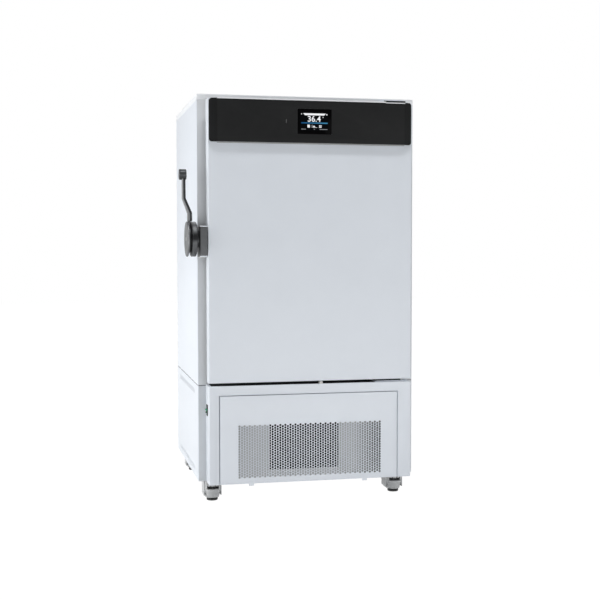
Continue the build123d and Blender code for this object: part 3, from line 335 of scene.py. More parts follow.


# Front frame round the chamber mouth: a pressed steel surround in the same coat, painted greyer as painted
# shade. The base's front wall under it has the same greyer coat at its ends, is painted darker behind the
# service panel as painted shade, and is painted darker still towards its right end as painted shadow.
frame_white_painted_shade = plain_finish(
    "frame_white_painted_shade",
    tint=(11.0, (0.66, 0.685, 0.71), (0.71, 0.735, 0.76)),
    sheen=(36.0, 4.0, 0.36, 0.15),
    grit=(480.0, 0.05, 0.0004),
)
wall_grey, wall_shader, wall_where = new_finish("wall_grey")
wall_x = wall_where.made("ShaderNodeSeparateXYZ", out=0, Vector=wall_where)
# Painted shade and shadow: behind the service panel the wall is painted darker than its coat, and darker still
# towards its right end.
painted_shade_left = -0.36
painted_shade_right = 0.433
shadow_start = 0.225
shadow_end = 0.305
shadow_share = 0.58
behind_panel = (wall_x > painted_shade_left) * (wall_x < painted_shade_right)
coated = tone(wall_where, 11.0, (0.66, 0.685, 0.71), (0.71, 0.735, 0.76))
in_shadow = wall_where.made(
    "ShaderNodeMapRange", i0=wall_x, i1=shadow_start, i2=shadow_end, i3=0.0, i4=shadow_share
)
painted_shade_tone = tone(wall_where, 16.0, (0.55, 0.56, 0.57), (0.62, 0.63, 0.64))
wall_painted_shade = blend(in_shadow, painted_shade_tone, (0.02, 0.02, 0.022))
feed(blend(behind_panel, coated, wall_painted_shade), wall_shader, "Base Color")
wall_shader.inputs["Roughness"].default_value = 0.6
wall_shader.inputs["Specular IOR Level"].default_value = 0.1
grain(wall_where, wall_shader, 480.0, 0.06, 0.0004)
dress(wall_grey, "base_front_wall")
stand_in("front_frame", "mouth_frame", 0.001, frame_white_painted_shade, "cabinet", "frame_coat")


# Cold chamber: a liner of brushed stainless steel with rails, clips and folded shelves, and the
# evaporator tube laid in the foam behind it.
def brushed(name, dark, light, stretch, rough):
    """Metal brushed along one axis, with streaks in its colour, its gloss and its surface."""
    finish, shader, where = new_finish(name)
    drawn = where.made("ShaderNodeMapping", Vector=where, Scale=stretch)
    streaks = drawn.made("ShaderNodeTexNoise", Vector=drawn, Scale=60.0, Detail=5.0)
    feed(blend(streaks, dark, light), shader, "Base Color")
    feed(streaks * 0.2 + rough, shader, "Roughness")
    feed(where.made("ShaderNodeBump", Strength=0.06, Distance=0.0003, Height=streaks), shader, "Normal")
    shader.inputs["Metallic"].default_value = 1.0
    return finish


stainless = brushed("stainless", (0.5, 0.5, 0.495), (0.68, 0.68, 0.675), (14.0, 14.0, 0.5), 0.24)
stainless_flat = brushed("stainless_flat", (0.5, 0.5, 0.495), (0.68, 0.68, 0.675), (0.5, 14.0, 14.0), 0.24)
dress(stainless, "chamber_liner", "shelf_rails", "inner_hinges", "hinge_pins", "latch_keeper")
stand_in("shelves", "shelf_trays", 0.0006, stainless_flat, "cabinet", "stainless")

copper = plain_finish(
    "copper",
    tint=(30.0, (0.62, 0.33, 0.2), (0.78, 0.48, 0.33)),
    sheen=(70.0, 3.0, 0.25, 0.25),
    metallic=1.0,
)
dress(copper, "evaporator_coil")

foam, foam_shader, foam_where = new_finish("foam")
cells = foam_where.made("ShaderNodeTexVoronoi", Vector=foam_where, Scale=700.0)
feed(blend(cells, (0.82, 0.72, 0.46), (0.88, 0.82, 0.62)), foam_shader, "Base Color")
feed(foam_where.made("ShaderNodeBump", Strength=0.5, Distance=0.0008, Height=cells), foam_shader, "Normal")
foam_shader.inputs["Roughness"].default_value = 0.95
dress(foam, "insulation", "door_core")


# Inner doors: two moulded white panels filled with foam, one above the other, each with a finger
# notch at its free edge and a field pressed in between raised borders.
def new_box(name, low, high):
    """A block between two corners, with its place in its mesh."""
    deselect()
    bpy.ops.mesh.primitive_cube_add(size=1, location=[(a + b) / 2 for a, b in zip(low, high)])
    piece = bpy.context.object
    piece.name = name
    piece.scale = [b - a for a, b in zip(low, high)]
    bpy.ops.object.transform_apply(location=True, rotation=True, scale=True)
    return piece


def carve(piece, cutter):
    """Takes one shape out of a piece."""
    bpy.context.view_layer.objects.active = piece
    cut = piece.modifiers.new("cut", "BOOLEAN")
    cut.operation = "DIFFERENCE"
    cut.solver = "EXACT"
    cut.object = cutter
    bpy.ops.object.modifier_apply(modifier=cut.name)
    bpy.data.objects.remove(cutter)
    smooth(piece)
    return piece


def pick(piece, kind, test):
    """Leaves a piece in edit mode, with those faces, edges or points selected that pass a test."""
    bpy.context.view_layer.objects.active = piece
    if bpy.context.mode != "OBJECT":
        bpy.ops.object.mode_set(mode="OBJECT")
    bpy.context.tool_settings.mesh_select_mode = (kind == "VERT", kind == "EDGE", kind == "FACE")
    mesh = piece.data
    for group in (mesh.vertices, mesh.edges, mesh.polygons):
        group.foreach_set("select", [False] * len(group))
    if kind == "FACE":
        for face in mesh.polygons:
            face.select = test(face.center, face.normal)
    elif kind == "EDGE":
        for edge in mesh.edges:
            start, end = (mesh.vertices[corner].co for corner in edge.vertices)
            edge.select = test((start + end) / 2, end - start)
    else:
        for point in mesh.vertices:
            point.select = test(point.co)
    bpy.ops.object.mode_set(mode="EDIT")


inner_white = plain_finish(
    "inner_white",
    tint=(14.0, (0.80, 0.81, 0.81), (0.86, 0.87, 0.87)),
    sheen=(60.0, 3.0, 0.28, 0.12),
    grit=(380.0, 0.06, 0.0005),
)

border = 0.045
press_depth = 0.004
press_round = 0.012
for level in ("upper", "lower"):
    node = f"inner_door_{level}"
    panel = eased_copy(node, f"{level}_inner_panel", 0.002, 3)
    low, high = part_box(node)
    carve(panel, softened(new_box(
        "press",
        (low.x + border, low.y - border, low.z + border),
        (high.x - border, low.y + press_depth, high.z - border),
    ), press_round, 4))
    settle(panel, inner_white, f"{level}_inner_door", "inner_white", node)


# Base: a galvanised tray carries the machines. Its white side panels breathe through strips of
# fine round holes near their lower and upper edges.
meeting = 1e-5
aligned = 1e-6
hole_sides = 12


def join(name, *pieces):
    """Makes one piece of several."""
    deselect()
    for piece in pieces:
        piece.select_set(True)
    whole = pieces[0]
    bpy.context.view_layer.objects.active = whole
    bpy.ops.object.join()
    whole.name = name
    return whole


def repeat(piece, count, step):
    """Repeats a piece in a row and merges where the copies meet."""
    bpy.context.view_layer.objects.active = piece
    row = piece.modifiers.new("row", "ARRAY")
    row.count = count
    row.use_relative_offset = False
    row.use_constant_offset = True
    row.constant_offset_displace = step
    row.use_merge_vertices = True
    row.merge_threshold = meeting
    bpy.ops.object.modifier_apply(modifier=row.name)


def oblong(name, middle, width, height):
    """A flat oblong of sheet, with its place in its mesh."""
    deselect()
    bpy.ops.mesh.primitive_plane_add(size=1, location=(*middle, 0))
    cell = bpy.context.object
    cell.name = name
    cell.scale = (width, height, 1)
    bpy.ops.object.transform_apply(location=True, rotation=True, scale=True)
    return cell


def holed_cell(name, middle, width, height, hole):
    """One oblong of sheet with a round hole, its upright edges cut in four and its level ones in two."""
    cell = oblong(name, middle, width, height)
    pick(cell, "EDGE", lambda place, along: abs(along.y) > abs(along.x))
    bpy.ops.mesh.subdivide(number_cuts=3)
    rim = height / 3
    pick(cell, "EDGE", lambda place, along: abs(along.x) > abs(along.y) and abs(place.y - middle[1]) > rim)
    bpy.ops.mesh.subdivide(number_cuts=1)
    bpy.ops.mesh.select_all(action="SELECT")
    bpy.ops.mesh.dissolve_faces()
    bpy.ops.mesh.select_all(action="SELECT")
    bpy.ops.mesh.delete(type="ONLY_FACE")
    bpy.ops.mesh.primitive_circle_add(vertices=hole_sides, radius=hole / 2, location=(*middle, 0))
    bpy.ops.mesh.select_all(action="SELECT")
    bpy.ops.mesh.bridge_edge_loops()
    bpy.ops.object.mode_set(mode="OBJECT")
    return cell


def plain_cell(name, middle, width, height):
    """A half-high oblong of sheet with no hole, whose points meet those of the holed ones."""
    cell = oblong(name, middle, width, height)
    bpy.ops.object.mode_set(mode="EDIT")
    bpy.ops.mesh.select_all(action="SELECT")
    bpy.ops.mesh.subdivide(number_cuts=1)
    bpy.ops.object.mode_set(mode="OBJECT")
    return cell


def weld():
    """Merges the points of the active sheet that meet, and turns its faces one way."""
    bpy.ops.object.mode_set(mode="EDIT")
    bpy.ops.mesh.select_all(action="SELECT")
    bpy.ops.mesh.remove_doubles(threshold=meeting)
    bpy.ops.mesh.normals_make_consistent(inside=False)
    bpy.ops.object.mode_set(mode="OBJECT")


def perforated(name, columns, rows, across, up, hole):
    """A flat sheet of staggered round holes in an odd number of columns. Every other one has a hole less."""
    odd = [
        holed_cell("odd", (1.5 * across, up), across, up, hole),
        plain_cell("foot", (1.5 * across, up / 4), across, up / 2),
        plain_cell("head", (1.5 * across, (rows - 0.25) * up), across, up / 2),
    ]
    repeat(odd[0], rows - 1, (0, up, 0))
    even = holed_cell("even", (across / 2, up / 2), across, up, hole)
    repeat(even, rows, (0, up, 0))
    last = even.copy()
    last.data = even.data.copy()
    bpy.context.scene.collection.objects.link(last)
    pair = join("pair", even, *odd)
    repeat(pair, columns // 2, (2 * across, 0, 0))
    placed(last, ((columns - 1) * across, 0, 0))
    sheet = join(name, pair, last)
    weld()
    return sheet


def widen(sheet, test, step):
    """Draws the sheet on from those of its edges that pass a test."""
    pick(sheet, "EDGE", test)
    bpy.ops.mesh.extrude_region_move(TRANSFORM_OT_translate={"value": step})
    bpy.ops.object.mode_set(mode="OBJECT")


def draw_out(sheet, width, height, down, up, left, right):
    """Draws a flat sheet on from its lower and upper edge, then from its ends."""
    widen(sheet, lambda place, along: place.y < meeting and abs(along.y) < aligned, (0, -down, 0))
    widen(sheet, lambda place, along: place.y > height - meeting and abs(along.y) < aligned, (0, up, 0))
    widen(sheet, lambda place, along: place.x < meeting and abs(along.x) < aligned, (-left, 0, 0))
    widen(sheet, lambda place, along: place.x > width - meeting and abs(along.x) < aligned, (right, 0, 0))


def thicken(sheet, depth, offset=-1.0):
    """Gives a sheet its thickness."""
    bpy.context.view_layer.objects.active = sheet
    wall = sheet.modifiers.new("wall", "SOLIDIFY")
    wall.thickness = depth
    wall.offset = offset
    wall.use_even_offset = True
    bpy.ops.object.modifier_apply(modifier=wall.name)


def placed(piece, place, turn=(0, 0, 0)):
    """Turns a piece, then moves it, and puts both in its mesh."""
    deselect()
    piece.select_set(True)
    bpy.context.view_layer.objects.active = piece
    piece.rotation_euler = turn
    piece.location = place
    bpy.ops.object.transform_apply(location=True, rotation=True, scale=True)
    return piece


quarter_turn = math.radians(90)
crease = math.radians(30)
sheet_steel = 0.0015
vent_across = 0.0055
vent_up = 0.0055
vent_hole = 0.0034
vent_columns = 95
vent_rows = 4
vent_front = 0.110
vent_low = 0.019
vent_high = 0.326
vent_split = 0.15
for side in ("left", "right"):
    node = f"side_panel_{side}"
    low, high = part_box(node)
    length = high.y - low.y
    height = high.z - low.z
    strip_end = vent_columns * vent_across
    strip_top = vent_rows * vent_up
    strips = []
    for strip_bottom, down, up in (
        (vent_low, vent_low, vent_split),
        (vent_high, vent_high - vent_low - strip_top - vent_split, height - vent_high - strip_top),
    ):
        strip = perforated("strip", vent_columns, vent_rows, vent_across, vent_up, vent_hole)
        draw_out(strip, strip_end, strip_top, down, up, vent_front, length - vent_front - strip_end)
        strips.append(placed(strip, (vent_front, strip_bottom, 0)))
    skin = join(f"base_{side}_skin", *strips)
    weld()
    thicken(skin, sheet_steel, 0.0)
    placed(skin, ((low.x + high.x) / 2, low.y, low.z), (quarter_turn, 0, quarter_turn))
    smooth(skin, crease)
    settle(skin, powder_white, "cabinet", "white_coat", node)

rear_low, rear_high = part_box("base_rear_panel")
screw_columns = 5
screw_inset = 0.02
screw_rise = 0.014
screw_radius = 0.0048
screw_depth = 0.0026
screw_proud = 0.0009
screw_round = 0.0011
slot_floor = 0.0011
slot_reach = 0.01
slot_long = 0.0024
slot_thin = 0.0005
screw_span = rear_high.x - rear_low.x - 2 * screw_inset
screws = []
for column in range(screw_columns):
    spot_x = rear_low.x + screw_inset + column * screw_span / (screw_columns - 1)
    for spot_z in (rear_low.z + screw_rise, rear_high.z - screw_rise, rear_high.z + screw_rise):
        deselect()
        bpy.ops.mesh.primitive_cylinder_add(
            vertices=20,
            radius=screw_radius,
            depth=screw_depth,
            location=(spot_x, rear_high.y + screw_proud, spot_z),
            rotation=(quarter_turn, 0, 0),
        )
        bpy.ops.object.transform_apply(location=True, rotation=True, scale=True)
        head = softened(bpy.context.object, screw_round, 3)
        for half_x, half_z in ((slot_long, slot_thin), (slot_thin, slot_long)):
            carve(head, new_box(
                "slot",
                (spot_x - half_x, rear_high.y + slot_floor, spot_z - half_z),
                (spot_x + half_x, rear_high.y + slot_reach, spot_z + half_z),
            ))
        screws.append(head)
rear_screws = join("rear_screws", *screws)

galvanised, zinc_shader, zinc_where = new_finish("galvanised")
spangle = zinc_where.made("ShaderNodeTexVoronoi", out=1, Vector=zinc_where, Scale=70.0)
spangle_level = zinc_where.made("ShaderNodeSeparateColor", i0=spangle)
feed(blend(spangle_level, (0.46, 0.47, 0.48), (0.62, 0.63, 0.64)), zinc_shader, "Base Color")
feed(spangle_level * 0.25 + 0.3, zinc_shader, "Roughness")
zinc_shader.inputs["Metallic"].default_value = 0.9
dress(galvanised, "base_tray", "fan_shroud", "electrical_box", "caster_plates")
settle(rear_screws, galvanised, "cabinet", "zinc")


# Lower fascia and service panel: a folded white surround, and in it a lift-off panel with a field
# of small staggered holes. The condenser shows dark behind the middle of the field.
stand_in("lower_fascia", "base_surround", sheet_edge, powder_white, "cabinet", "white_coat")
panel_low, panel_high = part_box("service_panel")
field_columns = 57
field_rows = 21
field_across = 0.00993
field_up = 0.0098
field_hole = 0.0088
first_hole_x = -0.2466
first_hole_rise = 0.0257
field_left = first_hole_x - field_across / 2
panel_foot = 0.086
field_bottom = panel_foot + first_hole_rise - field_up / 2
field_width = field_columns * field_across
field_height = field_rows * field_up
fold = 0.0018
grille = perforated("grille_panel", field_columns, field_rows, field_across, field_up, field_hole)
draw_out(
    grille,
    field_width,
    field_height,
    field_bottom - panel_foot,
    panel_high.z - field_bottom - field_height,
    field_left - panel_low.x,
    panel_high.x - field_left - field_width,
)
placed(grille, (field_left, 0, field_bottom), (quarter_turn, 0, 0))


def on_panel_rim(place, along):
    """Tells whether an edge lies on the panel's outline."""
    across = min(place.x - panel_low.x, panel_high.x - place.x) < meeting and abs(along.x) < aligned
    upright = min(place.z - panel_foot, panel_high.z - place.z) < meeting and abs(along.z) < aligned
    return across or upright


widen(grille, on_panel_rim, (0, panel_high.y - panel_low.y, 0))
pick(grille, "EDGE", lambda place, along: place.y < meeting and on_panel_rim(place, along))
bpy.ops.mesh.bevel(offset=fold, segments=3, affect="EDGES")
bpy.ops.mesh.select_all(action="SELECT")
bpy.ops.mesh.normals_make_consistent(inside=False)
bpy.ops.object.mode_set(mode="OBJECT")
placed(grille, (0, panel_low.y, 0))
thicken(grille, sheet_steel)
smooth(grille, crease)
tab_width = 0.02
tab_drop = 0.008
tab_places = (-0.20025, 0.24775)
tabs = []
for tab_x in tab_places:
    tab_low = (tab_x - tab_width / 2, panel_low.y, panel_foot - tab_drop)
    tab_high = (tab_x + tab_width / 2, panel_low.y + sheet_steel, panel_foot + tab_drop / 4)
    tabs.append(softened(new_box("tab", tab_low, tab_high), 0.0005))
grille = join("grille_panel", grille, *tabs)
settle(grille, powder_white, "front_panel", "white_coat", "service_panel")


# Power switch: a black bezel let into the fascia's left side, and a rocker whose upper half is green.
# It tips about its middle.
black_plastic = plain_finish(
    "black_plastic",
    tint=(60.0, (0.02, 0.02, 0.021), (0.036, 0.036, 0.037)),
    sheen=(160.0, 2.0, 0.42, 0.15),
    grit=(900.0, 0.15, 0.0003),
)
dress(black_plastic, "power_inlet")
bezel_black = plain_finish(
    "bezel_black",
    tint=(60.0, (0.006, 0.016, 0.011), (0.012, 0.026, 0.019)),
    sheen=(160.0, 2.0, 0.5, 0.15),
    specular=0.2,
)
stand_in("switch_bezel", "switch_frame", 0.0008, bezel_black, "cabinet", "black_plastic")

rocker_low, rocker_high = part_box("switch_rocker")
rocker_middle = (rocker_low.z + rocker_high.z) / 2
rocker_green, green_shader, green_where = new_finish("rocker_green")
upper_half = green_where.made("ShaderNodeSeparateXYZ", out=2, Vector=green_where) > rocker_middle
green = tone(green_where, 220.0, (0.02, 0.34, 0.14), (0.035, 0.42, 0.18))
feed(blend(upper_half, (0.014, 0.09, 0.05), green), green_shader, "Base Color")
gloss(green_where, green_shader, 300.0, 2.0, 0.16, 0.1)
stand_in("switch_rocker", "rocker_button", 0.0009, rocker_green, "rocker", "rocker_green", 3)


# Outer door: a thick leaf with a folded white shell, a moulded inner panel whose plug fills the chamber
# mouth, and a grey rubber gasket. It hangs on two pins in white brackets. Dark rubber lies on the sill under
# it, in the seam of the base and on the lower bracket. A black strip on the upper bracket is painted shadow,
# standing for the dark gap under the cap.
stand_in("door_shell", "door_skin", 0.0015, powder_white, "door", "white_coat")
stand_in("upper_hinge_bracket", "upper_hinge_plate", 0.0012, powder_white, "cabinet", "white_coat")
stand_in("lower_hinge_bracket", "lower_hinge_plate", 0.0012, powder_white, "cabinet", "white_coat")
stand_in("door_inner_panel", "door_liner", 0.002, inner_white, "door", "inner_white", 3)

gasket_rubber = plain_finish(
    "gasket_rubber",
    tint=(50.0, (0.50, 0.51, 0.52), (0.58, 0.59, 0.60)),
    sheen=(120.0, 3.0, 0.5, 0.2),
    grit=(600.0, 0.1, 0.0004),
)
stand_in("door_gasket", "door_seal", 0.002, gasket_rubber, "door", "gasket", 3)

nylon = plain_finish(
    "nylon",
    tint=(80.0, (0.66, 0.65, 0.62), (0.76, 0.75, 0.72)),
    sheen=(200.0, 2.0, 0.4, 0.15),
)
dress(nylon, "hinge_bushes")
rest_low = (0.0685, -0.398, 0.4625)
rest_high = (0.0805, -0.374, 0.4715)
rest_pad = softened(new_box("door_rest", rest_low, rest_high), 0.0015, 3)
settle(rest_pad, nylon, "cabinet", "nylon")

# Black rubber for the sill, the base seam and the lower bracket; the same black paints the shadow strip on the
# upper bracket.
black_rubber_and_painted_shadow = plain_finish(
    "black_rubber_and_painted_shadow",
    tint=(60.0, (0.011, 0.011, 0.012), (0.021, 0.021, 0.023)),
    sheen=(150.0, 3.0, 0.6, 0.2),
    grit=(500.0, 0.2, 0.0004),
    specular=0.1,
)
sill_low, sill_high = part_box("lower_fascia")
pad_sink = 0.0002
mat_left = sill_low.x + 0.010
mat_right = 0.29
mat_front = 0.009
mat_back = 0.002
mat_height = 0.0014
sill_mat = softened(new_box(
    "sill_mat",
    (mat_left, sill_low.y + mat_front, sill_high.z - pad_sink),
    (mat_right, sill_high.y - mat_back, sill_high.z + mat_height),
), 0.0006)
settle(sill_mat, black_rubber_and_painted_shadow, "cabinet", "gasket")
case_low, case_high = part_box("outer_case")
seam_half = 0.0011
seam_depth = 0.003
seam_inset = 0.001
seam_proud = 0.0003
front_proud = 0.0004
side_front = case_low.y + 0.002
side_back = case_high.y - 0.006
rear_inset = 0.003
seam_bars = [
    ((case_low.x + seam_inset, case_low.y - front_proud), (case_high.x - seam_inset, case_low.y + seam_depth)),
    ((case_low.x - seam_proud, side_front), (case_low.x + seam_inset, side_back)),
    ((case_high.x - seam_inset, side_front), (case_high.x + seam_proud, side_back)),
    ((case_low.x + rear_inset, case_high.y - seam_inset), (case_high.x - rear_inset, case_high.y + seam_proud)),
]
seam = join("base_seam", *[
    new_box("bar", (*bar_low, case_low.z - seam_half), (*bar_high, case_low.z + seam_half))
    for bar_low, bar_high in seam_bars
])
settle(softened(seam, 0.0003), black_rubber_and_painted_shadow, "cabinet", "gasket")
# Painted shadow: a black strip on the upper hinge plate stands for the dark gap between the plate and the cap.
plate_low, plate_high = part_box("upper_hinge_bracket")
upper_pad_height = 0.0072
upper_hinge_shadow_strip = softened(new_box(
    "upper_hinge_shadow_strip",
    (plate_low.x + 0.007, plate_low.y - 0.0025, plate_low.z - pad_sink),
    (plate_high.x - 0.011, plate_low.y + 0.0008, plate_low.z + upper_pad_height),
), 0.0008)
foot_plate_low, foot_plate_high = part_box("lower_hinge_bracket")
lower_pad_height = 0.0042
lower_pad_right = 0.398
foot_pad = softened(new_box(
    "lower_hinge_pad",
    (foot_plate_low.x + 0.001, foot_plate_low.y + 0.0008, foot_plate_high.z - pad_sink),
    (lower_pad_right, foot_plate_high.y - 0.015, foot_plate_high.z + lower_pad_height),
), 0.0006)
settle(join("hinge_pads_and_shadow_strip", upper_hinge_shadow_strip, foot_pad), black_rubber_and_painted_shadow, "cabinet", "gasket")


# Control fascia: a satin black moulding over the door's upper end, whose ends slope back to the door.
# A screen under black glass and a small upright indicator are let into it.
fascia_black, fascia_shader, fascia_where = new_finish("fascia_black")
fascia_low, fascia_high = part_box("control_fascia")
fascia_slope = 0.030
fascia_x = fascia_where.made("ShaderNodeSeparateXYZ", out=0, Vector=fascia_where)
flat_front = (fascia_x > fascia_low.x + fascia_slope) * (fascia_x < fascia_high.x - fascia_slope)
# Painted shade: the sloping ends are painted darker than the flat front, as they turn away from the light.
fascia_ends_painted_shade = tone(fascia_where, 24.0, (0.005, 0.0055, 0.006), (0.008, 0.0085, 0.009))
fascia_front = tone(fascia_where, 24.0, (0.009, 0.0095, 0.01), (0.013, 0.0135, 0.014))
fascia_face = blend(flat_front, fascia_ends_painted_shade, fascia_front)
feed(fascia_face, fascia_shader, "Base Color")
gloss(fascia_where, fascia_shader, 90.0, 3.0, 0.46, 0.12)
grain(fascia_where, fascia_shader, 1400.0, 0.12, 0.0002)
fascia_shader.inputs["Specular IOR Level"].default_value = 0.15
stand_in("control_fascia", "fascia_moulding", 0.0012, fascia_black, "door", "black_fascia")

# A white strip over the fascia's top edge stands for the door's rounded top edge catching the light: partly the
# real white edge, partly painted highlight, in the cap's lighter white.
hem_step = plate_low.x + 0.006
hem_end = 0.405
hem_highlights = []
for hem_left, hem_right, hem_foot, hem_top in (
    (fascia_low.x + fascia_slope, hem_step, fascia_high.z - 0.0026, fascia_high.z + 0.0024),
    (hem_step, hem_end, fascia_high.z - 0.0042, fascia_high.z - 0.0008),
):
    hem_highlights.append(softened(new_box(
        "hem", (hem_left, fascia_low.y - 0.0005, hem_foot), (hem_right, fascia_high.y, hem_top)
    ), 0.0008, 3))
settle(join("door_top_hem_highlight", *hem_highlights), cap_white_painted_light, "door", "white_coat")
# A grey strip along the underside of the fascia's flat front stands for its lower face lit by reflected light:
# painted reflection.
lip_painted_reflection = plain_finish(
    "lip_painted_reflection",
    tint=(40.0, (0.29, 0.295, 0.3), (0.34, 0.345, 0.35)),
    sheen=(90.0, 3.0, 0.5, 0.12),
)
lip_inset = 0.0006
lip_drop = 0.0042
lip_overlap = 0.0004
lip = softened(new_box(
    "fascia_lip",
    (fascia_low.x + fascia_slope, fascia_low.y + lip_inset, fascia_low.z - lip_drop),
    (fascia_high.x - fascia_slope, fascia_high.y + lip_overlap, fascia_low.z + lip_overlap),
), 0.0008, 3)
settle(lip, lip_painted_reflection, "door", "black_fascia")

screen_glass = plain_finish(
    "screen_glass",
    tint=(40.0, (0.0006, 0.0006, 0.0008), (0.0014, 0.0014, 0.0018)),
    sheen=(25.0, 4.0, 0.05, 0.08),
    specular=0.03,
)
stand_in("display_module", "screen_cover", 0.0008, screen_glass, "door", "display")

lens_grey, lens_shader, lens_where = new_finish("lens_grey")
feed(tone(lens_where, 300.0, (0.06, 0.062, 0.064), (0.12, 0.122, 0.124)), lens_shader, "Base Color")
lens_shader.inputs["Roughness"].default_value = 0.15
stand_in("indicator_lens", "indicator_window", 0.0005, lens_grey, "door", "indicator")

screen_low, screen_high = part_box("display_module")
screen_left_shift = 0.0027
screen_down_shift = 0.001
screen_x = (screen_low.x + screen_high.x) / 2 - screen_left_shift
screen_z = (screen_low.z + screen_high.z) / 2 - screen_down_shift
screen_face = screen_low.y
field_proud = 0.0001
mark_proud = 0.0003
mark_depth = 0.0004


def screen_mark(name, across, up, width, height, corner=0.0, sides=4, proud=mark_proud):
    """A flat figure on the screen, in millimetres from its middle."""
    deselect()
    place = (screen_x + across / 1000, screen_face - proud, screen_z + up / 1000)
    turn = (quarter_turn, 0, 0)
    if sides == 4:
        bpy.ops.mesh.primitive_plane_add(size=1, location=place, rotation=turn)
    else:
        bpy.ops.mesh.primitive_circle_add(
            vertices=sides, radius=0.5, fill_type="NGON", location=place, rotation=turn
        )
    mark = bpy.context.object
    mark.name = name
    mark.scale = (width / 1000, height / 1000, 1)
    bpy.ops.object.transform_apply(location=True, rotation=True, scale=True)
    if corner:
        bpy.ops.object.mode_set(mode="EDIT")
        bpy.ops.mesh.select_all(action="SELECT")
        bpy.ops.mesh.bevel(offset=corner / 1000, segments=3, affect="VERTICES")
        bpy.ops.object.mode_set(mode="OBJECT")
    return mark


def lit(name, dark, light):
    """A screen colour that glows a little unevenly."""
    finish, shader, where = new_finish(name)
    shader.inputs["Base Color"].default_value = (0.001, 0.001, 0.001, 1)
    shader.inputs["Roughness"].default_value = 0.2
    shader.inputs["Specular IOR Level"].default_value = 0.03
    shader.inputs["Emission Strength"].default_value = 1.0
    feed(tone(where, 140.0, dark, light), shader, "Emission Color")
    return finish


screen_back = screen_mark("screen_field", 0, 0, 108, 65, 0.6, proud=field_proud)
thicken(screen_back, mark_depth)
screen_night = lit("screen_night", (0.0006, 0.0008, 0.0012), (0.0012, 0.0016, 0.0026))
settle(screen_back, screen_night, "door", "display")

header_taper = 0.86
header = screen_mark("screen_header", 2, 28.3, 88, 7.6)
pick(header, "VERT", lambda place: place.z < screen_z + 0.028)
header_middle = (screen_x + 0.002, screen_face, screen_z)
bpy.ops.transform.resize(value=(header_taper, 1, 1), center_override=header_middle)
bpy.ops.object.mode_set(mode="OBJECT")
marks = [header]
for mark_row in (
    ("corner_dot", -48.5, 29.3, 3, 4, 0.8),
    ("corner_square", 50, 28, 4, 5, 0.8),
    ("list_icon", -21, -16.5, 10, 11, 1.2),
    ("chart_base", 4, -21.4, 17, 1.2),
    ("chart_bar", -7.6, -16.5, 1.2, 11),
    ("chart_peak", 0, -17.5, 12, 9, 0, 3),
):
    marks.append(screen_mark(*mark_row))
grid_step = 5.2
for cell in range(4):
    grid_across = 24.5 + grid_step * (cell % 2 - 0.5)
    grid_up = -17 + grid_step * (cell // 2 - 0.5)
    marks.append(screen_mark("grid_icon", grid_across, grid_up, 4.2, 4.2, 0.6))
deselect()
bpy.ops.object.text_add(rotation=(quarter_turn, 0, 0))
digits = bpy.context.object
digits.name = "reading"
digits.data.body = "36.4"
digits.data.align_x = "CENTER"
digits.data.size = 0.0305
digits.data.offset = 0.0004
bpy.ops.object.convert(target="MESH")
placed(digits, (screen_x + 0.0004, screen_face - mark_proud, screen_z + 0.0008), (quarter_turn, 0, 0))
degree = screen_mark("degree_ring", 35, 18, 4.2, 4.2, 0, 16)
pick(degree, "FACE", lambda middle, normal: True)
bpy.ops.mesh.inset(thickness=0.0008)
bpy.ops.mesh.delete(type="FACE")
bpy.ops.object.mode_set(mode="OBJECT")
figures = join("screen_figures", *marks, digits, degree)
thicken(figures, mark_depth)
settle(figures, lit("screen_white", (0.78, 0.8, 0.83), (0.95, 0.96, 0.98)), "door", "display")

stripe = screen_mark("screen_stripe", 1.5, -4.4, 103, 4.6)
thicken(stripe, mark_depth)
screen_blue, blue_shader, blue_where = new_finish("screen_blue")
stripe_left = screen_x - 0.05
stripe_rate = 10.0
blue_x = blue_where.made("ShaderNodeSeparateXYZ", out=0, Vector=blue_where)
blue_across = (blue_x - stripe_left) * stripe_rate
feed(blend(blue_across, (0.006, 0.07, 0.19), (0.05, 0.24, 0.42)), blue_shader, "Emission Color")
blue_shader.inputs["Base Color"].default_value = (0.001, 0.001, 0.001, 1)
blue_shader.inputs["Specular IOR Level"].default_value = 0.03
blue_shader.inputs["Emission Strength"].default_value = 1.0
settle(stripe, screen_blue, "door", "display")

bars = [
    screen_mark("bar_left", -41, -28, 18, 2.4, 0.6),
    screen_mark("bar_middle", 1, -28, 4, 2.4, 0.6),
    screen_mark("bar_right", 37, -28, 31, 2.4, 0.6),
]
footer = join("screen_bars", *bars)
thicken(footer, mark_depth)
settle(footer, lit("screen_grey", (0.18, 0.19, 0.2), (0.34, 0.35, 0.36)), "door", "display")


# Side latch: a cast bracket on the door's free edge, a drum on it, and a bent lever that ends in a round
# plate under a disc, with a barrel knob at its upper end. All are cast metal with a graphite finish.
def cast_sheen(where, shader, rough, metallic):
    """The gloss and the grain of cast metal."""
    gloss(where, shader, 130.0, 4.0, rough, 0.18)
    grain(where, shader, 800.0, 0.1, 0.0003)
    shader.inputs["Metallic"].default_value = metallic


def graphite_finish(name, dark, light, rough):
    """Cast metal in a graphite shade."""
    finish, shader, where = new_finish(name)
    feed(tone(where, 70.0, dark, light, 5.0), shader, "Base Color")
    cast_sheen(where, shader, rough, 0.75)
    return finish


def ramp(wire, start, end):
    """Rises smoothly from nought to one between two values."""
    settings = {"interpolation_type": "SMOOTHSTEP"}
    return wire.made("ShaderNodeMapRange", settings, i0=wire, i1=start, i2=end, i3=0.0, i4=1.0)


